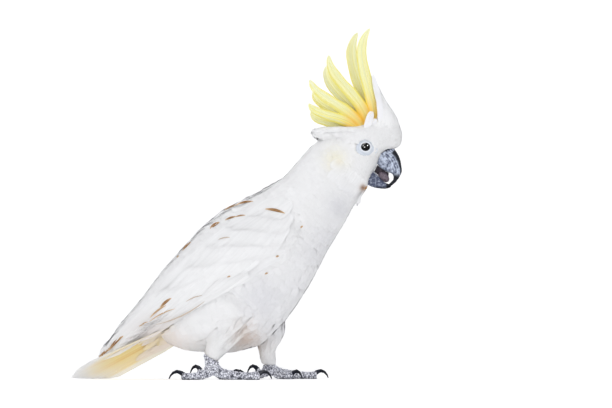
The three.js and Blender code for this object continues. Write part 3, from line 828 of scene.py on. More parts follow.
def under_long_feathers(places):
    """Places on the outer side of a wing, well inside its outline."""
    corners = np.array(UNDER_WING) * MM
    inside = np.abs(places[:, 1]) > WING_OUTSIDE
    for (x, z), (next_x, next_z) in zip(corners, np.roll(corners, -1, axis=0)):
        inside &= (next_x - x) * (places[:, 2] - z) - (next_z - z) * (places[:, 0] - x) > 0
    return inside


CANDIDATES = 90000
ROOT_SPACING = 0.245  # as a share of a feather's length, so that feathers overlap several deep
BILL_CLEARANCE = 0.4 * MM
candidates = coat_form.random_points(CANDIDATES)
_, candidate_size = coat_at(candidates)
on_wing_tip = (candidates[:, 0] < WING_TIP[0] * MM) & (candidates[:, 2] > WING_TIP[1] * MM)
free = ~(on_bare_skin(candidates) | under_long_feathers(candidates) | on_wing_tip)
candidates, candidate_size = candidates[free], candidate_size[free]
roots = candidates[scattered(candidates, candidate_size[:, 0] * ROOT_SPACING)]
roots = roots[~inside_node(roots, ["upper_bill", "lower_bill"], BILL_CLEARANCE)]
print("body feather roots:", len(roots))

# %% [markdown]
# ## What a vane is made of
# Keratin is matt and lets a little light through, so a white feather glows softly and never looks like
# painted tin. The barbs are too fine to model. They are a wave along the Vane map that only tilts the
# light, kept in a node group because the white and the yellow feathers both use it.

# %% Feather material
BARB_SLANT = 0.35
SHAFT_HALF, SHAFT_HEIGHT = 0.03, 1.5  # half width as a share of the vane, and height over the barbs


def barb_group():
    """Fine slanting barbs on both sides of the shaft, from the Vane map."""
    group = bpy.data.node_groups.new("barbs", "ShaderNodeTree")
    group.interface.new_socket("Barbs", in_out="INPUT", socket_type="NodeSocketFloat").default_value = 40
    group.interface.new_socket("Height", in_out="OUTPUT", socket_type="NodeSocketFloat")
    nodes, links = group.nodes, group.links
    enter, leave = nodes.new("NodeGroupInput"), nodes.new("NodeGroupOutput")
    vane = nodes.new("ShaderNodeUVMap")
    vane.uv_map = "Vane"
    split = nodes.new("ShaderNodeSeparateXYZ")
    links.new(vane.outputs["UV"], split.inputs["Vector"])

    def maths(operation, first, second=None):
        node = nodes.new("ShaderNodeMath")
        node.operation = operation
        for socket, value in zip(node.inputs, (first, second)):
            if isinstance(value, bpy.types.NodeSocket):
                links.new(value, socket)
            elif value is not None:
                socket.default_value = value
        return node.outputs["Value"]

    from_shaft = maths("ABSOLUTE", maths("SUBTRACT", split.outputs["X"], 0.5))
    slant = maths("SUBTRACT", split.outputs["Y"], maths("MULTIPLY", from_shaft, BARB_SLANT))
    wave = maths("SINE", maths("MULTIPLY", slant, maths("MULTIPLY", enter.outputs["Barbs"], 2 * math.pi)))
    shaft = maths("MULTIPLY", maths("LESS_THAN", from_shaft, SHAFT_HALF), SHAFT_HEIGHT)
    links.new(maths("ADD", wave, shaft), leave.inputs["Height"])
    return group


BARBS = barb_group()
BARBS_ALONG_VANE, BARB_RELIEF = 30, 0.1 * MM


def vane_material(name, roughness):
    material, nodes, links, shader = principled(name, Roughness=roughness, Specular_IOR_Level=0.25,
                                                Sheen_Weight=0.12, Sheen_Roughness=0.5,
                                                Subsurface_Weight=0.08, Subsurface_Radius=(1, 1, 1),
                                                Subsurface_Scale=1.5 * MM)
    tint = nodes.new("ShaderNodeAttribute")
    tint.attribute_name = "Plumage"
    links.new(tint.outputs["Color"], shader.inputs["Base Color"])
    ribs = nodes.new("ShaderNodeGroup")
    ribs.node_tree = BARBS
    ribs.inputs["Barbs"].default_value = BARBS_ALONG_VANE
    bump = nodes.new("ShaderNodeBump")
    bump.inputs["Strength"].default_value = 0.25
    bump.inputs["Distance"].default_value = BARB_RELIEF
    links.new(ribs.outputs["Height"], bump.inputs["Height"])
    links.new(bump.outputs["Normal"], shader.inputs["Normal"])
    return material


white_vane = vane_material("white_feather", 0.8)
yellow_vane = vane_material("yellow_feather", 0.6)
print("group inputs:", [item.name for item in BARBS.interface.items_tree])

# %% [markdown]
# ## The coat itself
# Every root now gets its feather: its way and size come from the guides, with a little chance in both, as
# no two real feathers match. The smallest ones, round the face, are made with fewer strips. The skin takes
# a slightly darker tint of the same colours, so that a gap between vanes reads as shade and not as a hole.

# %% Grow the body feathers
SMALL_FEATHER = 7.5 * MM
LIE_SPREAD, SIZE_SPREAD = 0.035, (0.88, 1.12)
VANE_OVERLAP, TIP_LIFT, CAMBER, RUFFLE = 1.45, 0.012, 0.05, 0.01 * MM
SKIN_SHADE = 0.95


def grow_body_feathers(coat, pattern, roots):
    lies, sizes = coat_at(roots)
    lies = lies + chance.normal(0, LIE_SPREAD, lies.shape)
    length, width, depth = (sizes * chance.uniform(*SIZE_SPREAD, (len(roots), 1))).T
    spine, out, side = traced(coat_form, roots, lies, length, pattern.rows)
    width, lift = width * VANE_OVERLAP, length * TIP_LIFT
    points = vane_points(pattern, spine, out, side, width, depth, lift, CAMBER, RUFFLE)
    coat.add(pattern, points, feather_colours(pattern, roots), roots)


small = coat_at(roots)[1][:, 0] < SMALL_FEATHER
body_coat, face_coat = Coat("body_feathers"), Coat("face_feathers")
grow_body_feathers(body_coat, BODY_VANE, roots[~small])
grow_body_feathers(face_coat, HEAD_VANE, roots[small])
body_feathers = body_coat.build(white_vane)
face_feathers = face_coat.build(white_vane)
skin.data.materials.append(white_vane)
paint(skin.data, plumage_colours(skin_form.points) * SKIN_SHADE, "Plumage")
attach(skin, "root")
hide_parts(*BODY_NODES, *WING_NODES)

# %% [markdown]
# ## Wings
# A folded wing is a stack of rows. The long primaries make the lower edge and the point, the secondaries
# lie over them, and ever smaller coverts lie over the quills like tiles. Each row runs from the lower edge
# up to the back, so a row is given by its lowest and its highest feather, as roots and tips in the side
# view, and the others are spaced between. Every point of a vane is laid on the wing's own surface, raised
# by the height of its row. The rows are built from the deepest to the top one.

# %% Long feathers
def long_rows(count):
    """Rows closer together at the root and the tip, where the outline bends most."""
    return 0.5 - 0.5 * np.cos(np.linspace(0, math.pi, count))


def vane_outline(rows, root_share, round_tip, tip_share):
    """Share of the full width at each row, with a narrow root and a rounded tip."""
    rise = root_share + (1 - root_share) * (rows / 0.25).clip(0, 1) ** 0.7
    past = ((rows - (1 - round_tip)) / round_tip).clip(0, 1)
    return rise * np.sqrt(1 - past ** 2 * (1 - tip_share ** 2))


FLIGHT_ROWS = long_rows(15)
FLIGHT_VANE = Pattern(FLIGHT_ROWS, vane_outline(FLIGHT_ROWS, 0.5, 0.16, 0.25), 8, 0.12, 0.006)
COVERT_ROWS = long_rows(9)
COVERT_VANE = Pattern(COVERT_ROWS, vane_outline(COVERT_ROWS, 0.5, 0.35, 0.3), 6, 0.16, 0.02)
print("faces in a flight feather:", len(FLIGHT_VANE.loop_counts))
print("faces in a covert:", len(COVERT_VANE.loop_counts))

# %% [markdown]
# ## Laying a row over the body
# Quills are stiff, so a long feather can't follow every hollow as a small one does. Its shaft is drawn
# straight or slightly bowed in the side view and dropped onto the form, then smoothed. The vane is laid on
# the form point by point, except past an edge, where it keeps its own plane like real wing feathers do.

# %% Lay long feathers
FAR_OUT, BESIDE_BODY = 0.2, 0.03  # metres from the middle plane: where rays start, and a spot near the body


def side_view(form, side, spots):
    """Places on the outer face of a form, and the normals there, for (x, z) spots seen from its side."""
    places, normals = [], []
    for x, z in spots:
        hit, normal, _, _ = form.tree.ray_cast(Vector((x, side * FAR_OUT, z)), Vector((0, -side, 0)))
        if hit is None:
            hit, normal, _, _ = form.tree.find_nearest(Vector((x, side * BESIDE_BODY, z)))
            hit = Vector((x, hit.y, z))
        places.append(hit)
        normals.append(normal)
    return np.array(places), np.array(normals)


def smoothed(lines, rounds):
    """Lines of points, evened along their length with the ends held."""
    for _ in range(rounds):
        lines[:, 1:-1] = 0.5 * lines[:, 1:-1] + 0.25 * (lines[:, :-2] + lines[:, 2:])
    return lines


def row_of_feathers(low, high, count, bow):
    """Roots, tips and bows in the side view for a row between its lowest and its highest feather."""
    share = np.linspace(0, 1, count)[:, None]
    root = np.array(low[0]) + (np.array(high[0]) - low[0]) * share
    tip = np.array(low[1]) + (np.array(high[1]) - low[1]) * share
    return root * MM, tip * MM, np.full(count, bow * MM)


ROOT_WANDER, TIP_WANDER = 1.0 * MM, 1.3 * MM
FOLD_BLEND = 3 * MM
NOTCH_REACH = 20  # how far uneven strips reach, per metre of feather


def white_vanes(pattern, points):
    """White, with painted shade towards the root, where the downy base shows through, and along the vane's
    edges.
    """
    colour = plumage_colours(points.reshape(-1, 3)).reshape(points.shape)
    # painted shade along the edges of the vane and towards its root
    shade = 1 - 0.035 * np.abs(pattern.across) ** 3 - 0.05 * (1 - pattern.rows[pattern.place]) ** 2
    varied = 1 + chance.normal(0, VARIED, (len(points), pattern.strips))[:, pattern.strip]
    return (colour * (shade * varied)[:, :, None]).clip(0, BRIGHTEST)


def lay_long_feathers(coat, pattern, form, side, row, width, heights, roll, fold=0.0):
    """A row of long feathers on one side of a form; heights are the row's lowest and highest feather's.

    fold is how far, in mm, a vane may stand over the edge of the form and still bend round it.
    """
    root, tip, bow = row
    count = len(root)
    root = root + chance.normal(0, ROOT_WANDER, root.shape)
    tip = tip + chance.normal(0, TIP_WANDER, tip.shape)
    along = (tip - root) / np.linalg.norm(tip - root, axis=1, keepdims=True)
    bend = np.stack([-along[:, 1], along[:, 0]], 1) * bow[:, None]
    rows = pattern.rows[None, :, None]
    spots = root[:, None] * (1 - rows) + tip[:, None] * rows + bend[:, None] * (4 * rows * (1 - rows))
    spine, out = side_view(form, side, spots.reshape(-1, 2))
    spine = smoothed(spine.reshape(count, -1, 3), 4)
    out = smoothed(out.reshape(count, -1, 3), 6)
    out /= np.linalg.norm(out, axis=2, keepdims=True)
    heading = np.gradient(spine, axis=1)
    across_way = np.cross(heading, out)
    across_way /= np.linalg.norm(across_way, axis=2, keepdims=True)
    wide = np.linspace(*width, count)[:, None] * MM / 2
    across = pattern.spread(count)
    reach = wide * pattern.widths[pattern.place] * across
    flat = spine[:, pattern.place] + across_way[:, pattern.place] * reach[:, :, None]
    on_form, normal, _ = form.nearest(flat.reshape(-1, 3))
    on_form, normal = on_form.reshape(flat.shape), normal.reshape(flat.shape)
    # Well past the edge of the form a vane stays in its own plane instead of folding round the edge.
    over = (np.linalg.norm(on_form - flat, axis=2, keepdims=True) - fold * MM) / FOLD_BLEND
    over = over.clip(0, 1)
    laid = on_form * (1 - over) + flat * over
    normal = normal * (1 - over) + out[:, pattern.place] * over
    rows = pattern.rows[pattern.place]
    rise = 0.35 + 0.65 * rows - 0.3 * ((rows - 0.6) / 0.4).clip(0, 1) ** 2
    height = np.linspace(*heights, count)[:, None] * MM * rise
    height = height - side * roll * reach * rows ** 0.5
    length = np.linalg.norm(tip - root, axis=1)
    last = pattern.place == len(pattern.rows) - 1
    uneven = chance.uniform(-pattern.notch, pattern.notch, (count, pattern.strips))[:, pattern.strip] * last
    points = laid + normal * height[:, :, None]
    points += heading[:, pattern.place] * (NOTCH_REACH * uneven * length[:, None])[:, :, None]
    coat.add(pattern, points, white_vanes(pattern, points), spine[:, 0])


middle_of_wing, _ = side_view(coat_form, RIGHT, [(0.0, 0.15)])
print("the coat at mid wing is", round(-middle_of_wing[0][1] / MM, 1), "mm from the middle plane")

# %% [markdown]
# ## The rows of a folded wing, and the cheek
# The primaries go down first and the feathers of the shoulder last. The deep rows lie on the wing itself.
# The upper ones lie on the whole coat, so that they bridge the step between wing and back. The cheek ends
# in two short rows made the same way, which stand out over the side of the neck.

# %% Rows of the wings
PRIMARIES = [
    (FLIGHT_VANE, ((14, 123), (-119, 51)), ((-26, 140), (-160, 25)), 9, -3, (19, 22), (1.0, 1.4)),
]
ALULA_AND_EDGE = [
    (COVERT_VANE, ((54, 146), (14, 123)), ((56, 152), (18, 135)), 3, -2, (9, 11), (0.6, 0.9)),
    (COVERT_VANE, ((28, 127), (-36, 97)), ((34, 141), (-38, 110)), 4, -2, (12, 13), (0.0, 0.5)),
]
SECONDARIES = [
    (FLIGHT_VANE, ((10, 166), (-44, 106)), ((-59, 135), (-153, 28)), 12, -2, (19, 20), (2.2, 1.8)),
]
COVERTS = [
    (COVERT_VANE, ((44, 166), (2, 124)), ((-36, 158), (-93, 101)), 13, -2, (16, 18), (1.9, 2.0)),
    (COVERT_VANE, ((56, 172), (32, 142)), ((-13, 179), (-62, 129)), 14, -1, (14, 16), (2.2, 2.2)),
    (COVERT_VANE, ((60, 184), (44, 157)), ((7, 193), (-38, 155)), 13, -1, (13, 15), (2.4, 2.4)),
]
SCAPULARS = [
    (COVERT_VANE, ((64, 196), (48, 172)), ((29, 206), (-14, 176)), 11, -1, (13, 14), (2.4, 2.6)),
    (COVERT_VANE, ((66, 208), (46, 188)), ((45, 215), (9, 192)), 8, -1, (13, 14), (2.2, 2.4)),
]
# vane, (root, tip) of the lowest and of the highest feather as (x, z) in mm, count, bow, widths, heights
WING_ROWS = PRIMARIES + ALULA_AND_EDGE + SECONDARIES + COVERTS + SCAPULARS
WING_ROLL = -0.05
UPPER_ROW, SHOULDER_FOLD = 1.5, 9.0  # height in mm from which a row lies on the whole coat, and its fold


def build_wing(name, side):
    coat = Coat(f"wing_feathers_{name}", tiles=8)
    for pattern, low, high, count, bow, width, heights in WING_ROWS:
        row = row_of_feathers(low, high, count, bow)
        form, fold = (coat_form, SHOULDER_FOLD) if heights[0] > UPPER_ROW else (wing_forms[name], 0.0)
        lay_long_feathers(coat, pattern, form, side, row, width, heights, WING_ROLL, fold)
    wing = coat.build(white_vane)
    return wing


wings = {name: build_wing(name, side) for name, side in SIDES.items()}

# (root, tip) of the lowest and of the highest feather as (x, z) in mm, count, bow, widths, heights
RUFF_ROWS = [
    (((151, 226), (142, 210)), ((121, 252), (108, 238)), 11, 0, (9, 10), (0.2, 0.3)),
    (((153, 236), (147, 223)), ((122, 262), (111, 250)), 11, 0, (8, 9), (0.3, 0.4)),
]


def build_ruff(name, side):
    """The cheek feathers that end in a rounded fan over the side of the neck."""
    coat = Coat(f"cheek_ruff_{name}", tiles=5)
    for low, high, count, bow, width, heights in RUFF_ROWS:
        row = row_of_feathers(low, high, count, bow)
        lay_long_feathers(coat, COVERT_VANE, coat_form, side, row, width, heights, 0.0)
    coat.build(white_vane)


for name, side in SIDES.items():
    build_ruff(name, side)

# %% [markdown]
# ## Worn and stained feather edges
# A few feathers of the folded wing are soiled brown along one edge, as if rubbed on bark. Each stain is a
# narrow sliver of vane laid on the outermost feather at its place. It is widest and darkest in the middle
# and fades to tan at its ends. One faint tan sliver along the wing's lower edge is painted shadow instead.

# %% Stained slivers and a painted edge shadow
STAIN_BROWN = np.array((0.22, 0.09, 0.015))
STAIN_TAN = np.array((0.76, 0.56, 0.36))
TAN_AND_EDGE_SHADOW = np.array((0.56, 0.46, 0.38))
# start and end (x, z) in mm, width in mm, strength of the brown; faint ones are tan all over, and the last
# one is painted shadow along the wing's lower edge
STAINS_AND_EDGE_SHADOW = [
    ((-16, 202.5), (1, 209), 2.4, 0.8), ((-1, 209), (19, 212.5), 2.6, 1.0),
    ((33, 202), (57, 196.5), 3.6, 1.0), ((-15, 189.5), (-1, 194), 2.6, 1.0),
    ((-3, 193), (10, 195), 2.0, 0.8), ((-33, 179.5), (-21, 187.5), 4.0, 1.0),
    ((-66, 153.5), (-56, 164), 3.0, 1.0), ((-91, 84.5), (-77, 96.5), 3.4, 1.0),
    ((-103, 73), (-83, 88), 2.2, 0.6), ((-116, 63), (-104, 68.5), 2.0, 0.5),
    ((-166, 24), (-148, 39), 3.2, 0.9), ((-153, 34), (-135, 52), 3.8, 1.0),
    ((-11, 120.5), (-7, 122), 2.0, 0.6), ((46, 144.5), (50, 146), 2.2, 0.7),
    ((33, 124.5), (37, 126), 2.0, 0.6), ((75, 179), (78, 182), 2.2, 0.5),
    ((-73, 145), (-70, 148), 1.8, 0.6), ((82, 276), (88, 278.5), 1.8, 0.5),
    ((-22, 165.5), (-8, 168), 1.6, 0.3), ((-104, 68), (-72, 84), 1.4, 0.5),
    ((-60, 92), (-40, 99.5), 1.2, 0.3), ((151, 226.5), (154.5, 231), 4.0, 1.0),
    # painted shadow, where the wing's lower edge shades the body
    ((-38, 92.5), (-96, 65), 1.6, 0.45),
]
FAINT = 0.5
SLIVER_ROWS = long_rows(9)
SLIVER = Pattern(SLIVER_ROWS, 0.15 + 0.85 * np.sin(math.pi * SLIVER_ROWS) ** 0.8, 2, 0.0, 0.0)
SLIVER_LIFT, SLIVER_BEND, SLIVER_BOW = 0.4 * MM, 4.0 * MM, 0.06
STAIN_WANDER = 4 * MM  # the stains of the two wings are alike but not at quite the same places


def outermost(objects):
    bm = bmesh.new()
    for obj in objects:
        bm.from_mesh(obj.data)
    return tree_from(bm)


def build_stains_and_edge_shadow(name, side, pieces):
    tree = outermost(pieces)
    coat = Coat(f"stains_and_edge_shadow_{name}", tiles=5)
    for start, end, width, strength in STAINS_AND_EDGE_SHADOW:
        wander = chance.normal(0, STAIN_WANDER, 2) * (side == LEFT) * (strength > FAINT)
        start, end = np.array(start) * MM + wander, np.array(end) * MM + wander
        length = np.linalg.norm(end - start)
        along = (end - start) / length
        upward = np.array((-along[1], along[0]))
        spread = SLIVER.spread(1)[0] * SLIVER.widths[SLIVER.place] * width / 2 * MM
        share = SLIVER.rows[SLIVER.place][:, None]
        bow = (SLIVER_BOW * length * 4 * share * (1 - share)) * upward
        spots = start + (end - start) * share + bow + upward * spread[:, None]
        hits = [tree.ray_cast(Vector((x, side * FAR_OUT, z)), Vector((0, -side, 0)))[0] for x, z in spots]
        levels = [hit.y * side if hit else -1 for hit in hits]
        if np.median(levels) < 0:
            continue
        depth = np.maximum(levels, max(levels) - SLIVER_BEND) + SLIVER_LIFT
        points = np.column_stack([spots[:, 0], side * depth, spots[:, 1]])
        dark = (np.sin(math.pi * share[:, 0]) ** 0.7 * chance.uniform(0.75, 1, len(spots))).clip(0, 1)
        colours = mixed(np.tile(STAIN_TAN, (len(spots), 1)), STAIN_BROWN, strength * dark)
        # faint slivers are tan all over; the one along the wing's lower edge is painted shadow
        if strength < FAINT:
            colours = np.tile(TAN_AND_EDGE_SHADOW, (len(spots), 1))
        coat.add(SLIVER, points[None], colours[None], points[:1])
    coat.build(white_vane)


for name, side in SIDES.items():
    build_stains_and_edge_shadow(name, side, [wings[name], body_feathers, face_feathers])

# %% [markdown]
# ## Tail
# Twelve tail feathers lie in a shallow fan, the middle pair on top and each next one a little lower. The
# tail is rolled, so that its underside turns to one side. Outer webs are white and inner webs yellow, which
# shows best from below.

# %% Twelve tail feathers
TAIL_ROOT, TAIL_TIP, TAIL_ROLL = Vector((-62, 0, 69.5)) * MM, Vector((-198.6, 0, 0)) * MM, 0.41
TAIL_HALF = (18 * MM, 34 * MM)  # how far the outer shafts lie from the middle, at the root and the tip
TAIL_ARCH, TAIL_ROUNDING = 4 * MM, 0.13
TAIL_WIDTH = 13 * MM
YELLOW_WEB = np.array((0.90, 0.74, 0.33))
YELLOW_STREAK = np.array((0.74, 0.43, 0.13))
TAIL_COUNT, COVERTS_REACH = 12, 0.95
TAIL_NOTCH = 1.2  # how unequal the tips of the strips are, in mm
TAIL_FLOOR = (0.5, 1.2)  # height in mm at which an outer vane rests on the floor, and what the middle adds
# place in the fan beyond its edge, start, end, height in mm: coverts between the tail and the wing
SIDE_COVERTS = [(1.2, 0.02, 0.58, 3), (1.35, 0.0, 0.50, 7), (1.5, -0.02, 0.42, 11), (1.6, -0.04, 0.36, 15)]
# start and end as shares of the tail, count, width and height over the tail in mm (below it if negative)
TAIL_COVERTS = [
    (0.20, 0.52, 3, 12, -1.9), (0.10, 0.44, 5, 13, -2.4), (0.00, 0.34, 6, 14, -3.8),
    (-0.10, 0.24, 6, 15, -5.4), (-0.16, 0.10, 5, 14, -7.0),
    (0.02, 0.34, 6, 14, 2.6), (-0.10, 0.20, 6, 14, 4.0),
]


def tail_place(share, rows):
    """Points, directions across and directions out at rows along a place in the fan."""
    reach = TAIL_TIP - TAIL_ROOT
    level = Vector((0, -math.cos(TAIL_ROLL), math.sin(TAIL_ROLL)))
    over = level.cross(reach).normalized()
    over *= math.copysign(1, over.z)
    spine, across, out = [], [], []
    for t in rows:
        half = TAIL_HALF[0] + (TAIL_HALF[1] - TAIL_HALF[0]) * t
        slope = 2 * TAIL_ARCH * share / half
        spine.append(TAIL_ROOT + reach * t + level * share * half - over * TAIL_ARCH * share ** 2)
        across.append((level - over * slope).normalized())
        out.append((over + level * slope).normalized())
    return np.array(spine), np.array(across), np.array(out)


def tail_colours(pattern, share):
    """Yellow inner webs with orange brown streaks, white outer webs and a white end."""
    outer = pattern.across * math.copysign(1, share) > 0.3
    rows = pattern.rows[pattern.place]
    yellow = np.where(outer, 0.35, 1.0) * (1 - ((rows - 0.60) / 0.32).clip(0, 1) ** 1.3)
    yellow *= np.interp(share, [-1, -0.6, 0, 1], [0.75, 0.95, 1, 0.85])
    streak = chance.random(pattern.strips)[pattern.strip] ** 2.5 * (1 - rows) ** 0.5 * yellow
    white = np.tile(WHITE * 1.02, (len(rows), 1))
    return mixed(mixed(white, YELLOW_WEB, yellow), YELLOW_STREAK, 0.8 * streak)[None]


def covert_colours(pattern, down):
    """White above; below flushed with pink and a little yellow towards the end."""
    rows = pattern.rows[pattern.place]
    tint = mixed(np.tile(FLUSH, (len(rows), 1)), YELLOW_WEB, 0.7 * rows * chance.uniform(0, 1))
    return (tint if down else np.tile(WHITE, (len(rows), 1)))[None]


def tail_vane(coat, pattern, share, rows, width, height, colours):
    spine, across_way, out = tail_place(share, rows)
    reach = width / 2 * pattern.widths[pattern.place] * pattern.spread(1)[0]
    level = height - 0.06 * np.abs(reach) * math.copysign(1, height)
    points = spine[pattern.place] + across_way[pattern.place] * reach[:, None]
    points += out[pattern.place] * level[:, None]
    heading = (spine[-1] - spine[0]) / np.linalg.norm(spine[-1] - spine[0])
    uneven = chance.uniform(-TAIL_NOTCH, TAIL_NOTCH, pattern.strips)[pattern.strip] * MM
    points += heading * (uneven * (pattern.place == len(pattern.rows) - 1))[:, None]
    lowest = (TAIL_FLOOR[0] + TAIL_FLOOR[1] * (1 - abs(share))) * MM
    points[:, 2] = np.where(points[:, 2] < lowest, lowest + 0.02 * (points[:, 2] - lowest), points[:, 2])
    coat.add(pattern, points[None], colours, spine[:1])


def build_tail():
    coat = Coat("tail_feathers", tiles=7)
    for share in sorted(np.linspace(-1, 1, TAIL_COUNT), key=lambda s: -abs(s)):
        rows = FLIGHT_ROWS * (1 - TAIL_ROUNDING * share ** 2)
        height = (0.8 - 2.6 * abs(share)) * MM
        tail_vane(coat, FLIGHT_VANE, share, rows, 2 * TAIL_WIDTH, height, tail_colours(FLIGHT_VANE, share))
    for start, end, count, width, height in TAIL_COVERTS:
        for share in np.linspace(-COVERTS_REACH, COVERTS_REACH, count):
            rows = start + (end - start) * COVERT_ROWS * chance.uniform(0.6, 1.1)
            colours = covert_colours(COVERT_VANE, height < 0)
            tail_vane(coat, COVERT_VANE, share, rows, width * MM, height * MM, colours)
    for side in SIDES.values():
        for share, start, end, height in SIDE_COVERTS:
            rows = start + (end - start) * COVERT_ROWS
            colours = covert_colours(COVERT_VANE, False)
            tail_vane(coat, COVERT_VANE, -side * share, rows, TAIL_WIDTH, height * MM, colours)
    return coat.build(white_vane)


tail_feathers = build_tail()
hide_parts("tail")

# %% [markdown]
# ## Crest
# Eight long crest feathers stand in four pairs. Each is a narrow vane rolled into an open channel that
# curls forward at the tip. The vane is pale lemon and shows a stronger yellow where it is seen edge on, at
# its rims, and almost orange at its root.

# %% Eight curled crest feathers
# four points (x, z) that a shaft passes, width, side; in mm
CREST = [
    (((163, 300), (155, 356), (148.4, 394), (155.4, 421)), 11, RIGHT),
    (((160, 300), (146, 355), (136.8, 389), (141, 418)), 12.5, LEFT),
    (((157, 299), (133, 346), (113, 371), (106, 388.5)), 11, RIGHT),
    (((154, 298), (126, 338), (108, 361), (103.6, 377.5)), 11, LEFT),
    (((152, 298), (124, 326), (98, 343), (83, 359)), 10.5, RIGHT),
    (((149, 298), (121, 320), (99, 332.5), (87, 346)), 10, LEFT),
    (((146, 297), (118, 313.5), (97, 320), (82, 330.5)), 10, RIGHT),
    (((144, 297), (116, 307.5), (97, 312), (84.5, 322)), 9, LEFT),
]
CREST_SPREAD = (3.7, 9.0)  # distance from the middle plane at the root and the tip, in mm
CREST_CURL = math.radians(36)
CREST_ROWS = long_rows(22)
CREST_TAPER = np.interp(CREST_ROWS, [0, 0.45, 0.72, 1], [1.4, 1.27, 1.12, 0.95])
CREST_VANE = Pattern(CREST_ROWS, CREST_TAPER * vane_outline(CREST_ROWS, 1, 0.30, 0.06), 14, 0.3, 0.012)
CREST_HOOK, CREST_HOOK_FROM = 3.2 * MM, 0.78
CREST_WAVER, CREST_WAVES = 0.05, 23  # the rims waver a little in and out along the feather
LEMON = np.array((0.79, 0.78, 0.50))
LEMON_TIP = np.array((0.76, 0.77, 0.36))
RIM_YELLOW = np.array((0.86, 0.74, 0.08))
ROOT_ORANGE = np.array((0.90, 0.42, 0.003))


def through(passed, rows):
    """A smooth curve that passes its four points, at shares of its length."""
    passed = np.array(passed, float)
    reach = np.cumsum([0, *np.linalg.norm(np.diff(passed, axis=0), axis=1)])
    return np.stack([np.polyval(np.polyfit(reach / reach[-1], line, 3), rows) for line in passed.T], 1)


def crest_colours(pattern, number):
    """Lemon with yellow rims and orange roots; the hind feathers of the crest are the yellowest."""
    rows, across = pattern.rows[pattern.place][:, None], np.abs(pattern.across)[:, None]
    colour = LEMON + (LEMON_TIP - LEMON) * (1.3 * rows - 0.3).clip(0, 1)
    rim = ((across - 0.66) / 0.2).clip(0, 1) * (1 - 0.5 * rows)
    streak = (0.3 + 0.09 * number) * chance.random(pattern.strips)[pattern.strip][:, None] ** 1.8
    colour = mixed(colour, RIM_YELLOW, np.maximum(rim, streak)[:, 0])
    warm = 0.6 * (1 - rows / 0.5).clip(0, 1) ** 0.7
    colour = mixed(colour, RIM_YELLOW, warm[:, 0])
    root = ((0.36 - rows) / 0.22).clip(0, 1) * (0.35 + 0.65 * across)
    colour = mixed(colour, ROOT_ORANGE, root[:, 0])
    varied = 1 + chance.normal(0, 0.03, pattern.strips)[pattern.strip][:, None]
    return (colour * varied).clip(0, BRIGHTEST)[None]


def build_crest_feather(number, passed, width, side):
    pattern = CREST_VANE
    line = through(passed, pattern.rows) * MM
    line[:, 0] += CREST_HOOK * ((pattern.rows - CREST_HOOK_FROM) / (1 - CREST_HOOK_FROM)).clip(0, 1) ** 2
    away = side * (CREST_SPREAD[0] + (CREST_SPREAD[1] - CREST_SPREAD[0]) * pattern.rows) * MM
    spine = np.column_stack([line[:, 0], away, line[:, 1]])
    heading = np.gradient(spine, axis=0)
    heading /= np.linalg.norm(heading, axis=1, keepdims=True)
    out = np.tile((0.0, float(side), 0.0), (len(spine), 1))
    across_way = np.cross(heading, out)
    coat = Coat(f"crest_vane_{number}", tiles=1)
    across = pattern.spread(1)[0] * CREST_CURL
    radius = width / 2 * MM * pattern.widths[pattern.place] / math.sin(CREST_CURL)
    waver = 1 + CREST_WAVER * np.sin(pattern.rows[pattern.place] * CREST_WAVES + number)
    reach, sink = radius * np.sin(across) * waver, radius * (1 - np.cos(across))
    points = spine[pattern.place] + across_way[pattern.place] * reach[:, None] - out[0] * sink[:, None]
    uneven = chance.uniform(-1.6, 1.0, pattern.strips)[pattern.strip] * MM
    points += heading[pattern.place] * (uneven * (pattern.place == len(pattern.rows) - 1))[:, None]
    coat.add(pattern, points[None], crest_colours(pattern, number), spine[:1])
    vane = coat.build(yellow_vane)
    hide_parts(f"crest_feather_{number}")


for number, (passed, width, side) in enumerate(CREST, 1):
    build_crest_feather(number, passed, width, side)

# %% [markdown]
# ## White front of the crest
# The forehead feathers sweep up into a pointed white plume in front of the yellow crest. They grow along a
# form of their own, fused from the plume and the head, and all aim a little past its point. They overlap
# so deeply that no core is needed behind them.

# %% Plume in front of the crest
PLUME_AIM = np.array((156, 0, 392)) * MM
PLUME_CANDIDATES, PLUME_SPACING = 16000, 0.17
PLUME_LOWEST, PLUME_HINDMOST, PLUME_TOP = 286 * MM, 146 * MM, 366 * MM
PLUME_LENGTH = (14 * MM, 34 * MM)
PLUME_DEPTH = 1.4 * MM


def build_front_plume():
    coat = Coat("front_plume")
    spots = front_crest_form.random_points(PLUME_CANDIDATES)
    spots = spots[(spots[:, 2] > PLUME_LOWEST) & (spots[:, 0] > PLUME_HINDMOST)]
    reach = np.linalg.norm(spots - PLUME_AIM, axis=1)
    length = (0.42 * reach).clip(*PLUME_LENGTH)
    kept = scattered(spots, length * PLUME_SPACING)
    spots, length = spots[kept], length[kept] * chance.uniform(0.85, 1.15, len(kept))
    aim = PLUME_AIM - spots
    aim /= np.linalg.norm(aim, axis=1, keepdims=True)
    aim += chance.normal(0, 0.05, aim.shape)
    spine, out, side = traced(front_crest_form, spots, aim, length, BODY_VANE.rows)
    width, depth = length * 0.2 + 1.6 * MM, np.full(len(spots), PLUME_DEPTH)
    points = vane_points(BODY_VANE, spine, out, side, width, depth, length * 0.02, 0.2, 0.05 * MM)
    points[:, :, 2] = points[:, :, 2].clip(0, PLUME_TOP)
    coat.add(BODY_VANE, points, feather_colours(BODY_VANE, spots), spots)
    plume = coat.build(white_vane)
    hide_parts("crest_front")


build_front_plume()

# %% [markdown]
# ## Foot of the crest
# Four longer white feathers on each side stand over the roots of the yellow ones and close the step
# between plume and crown. They stand free of the head, so each is one curved vane between two places.

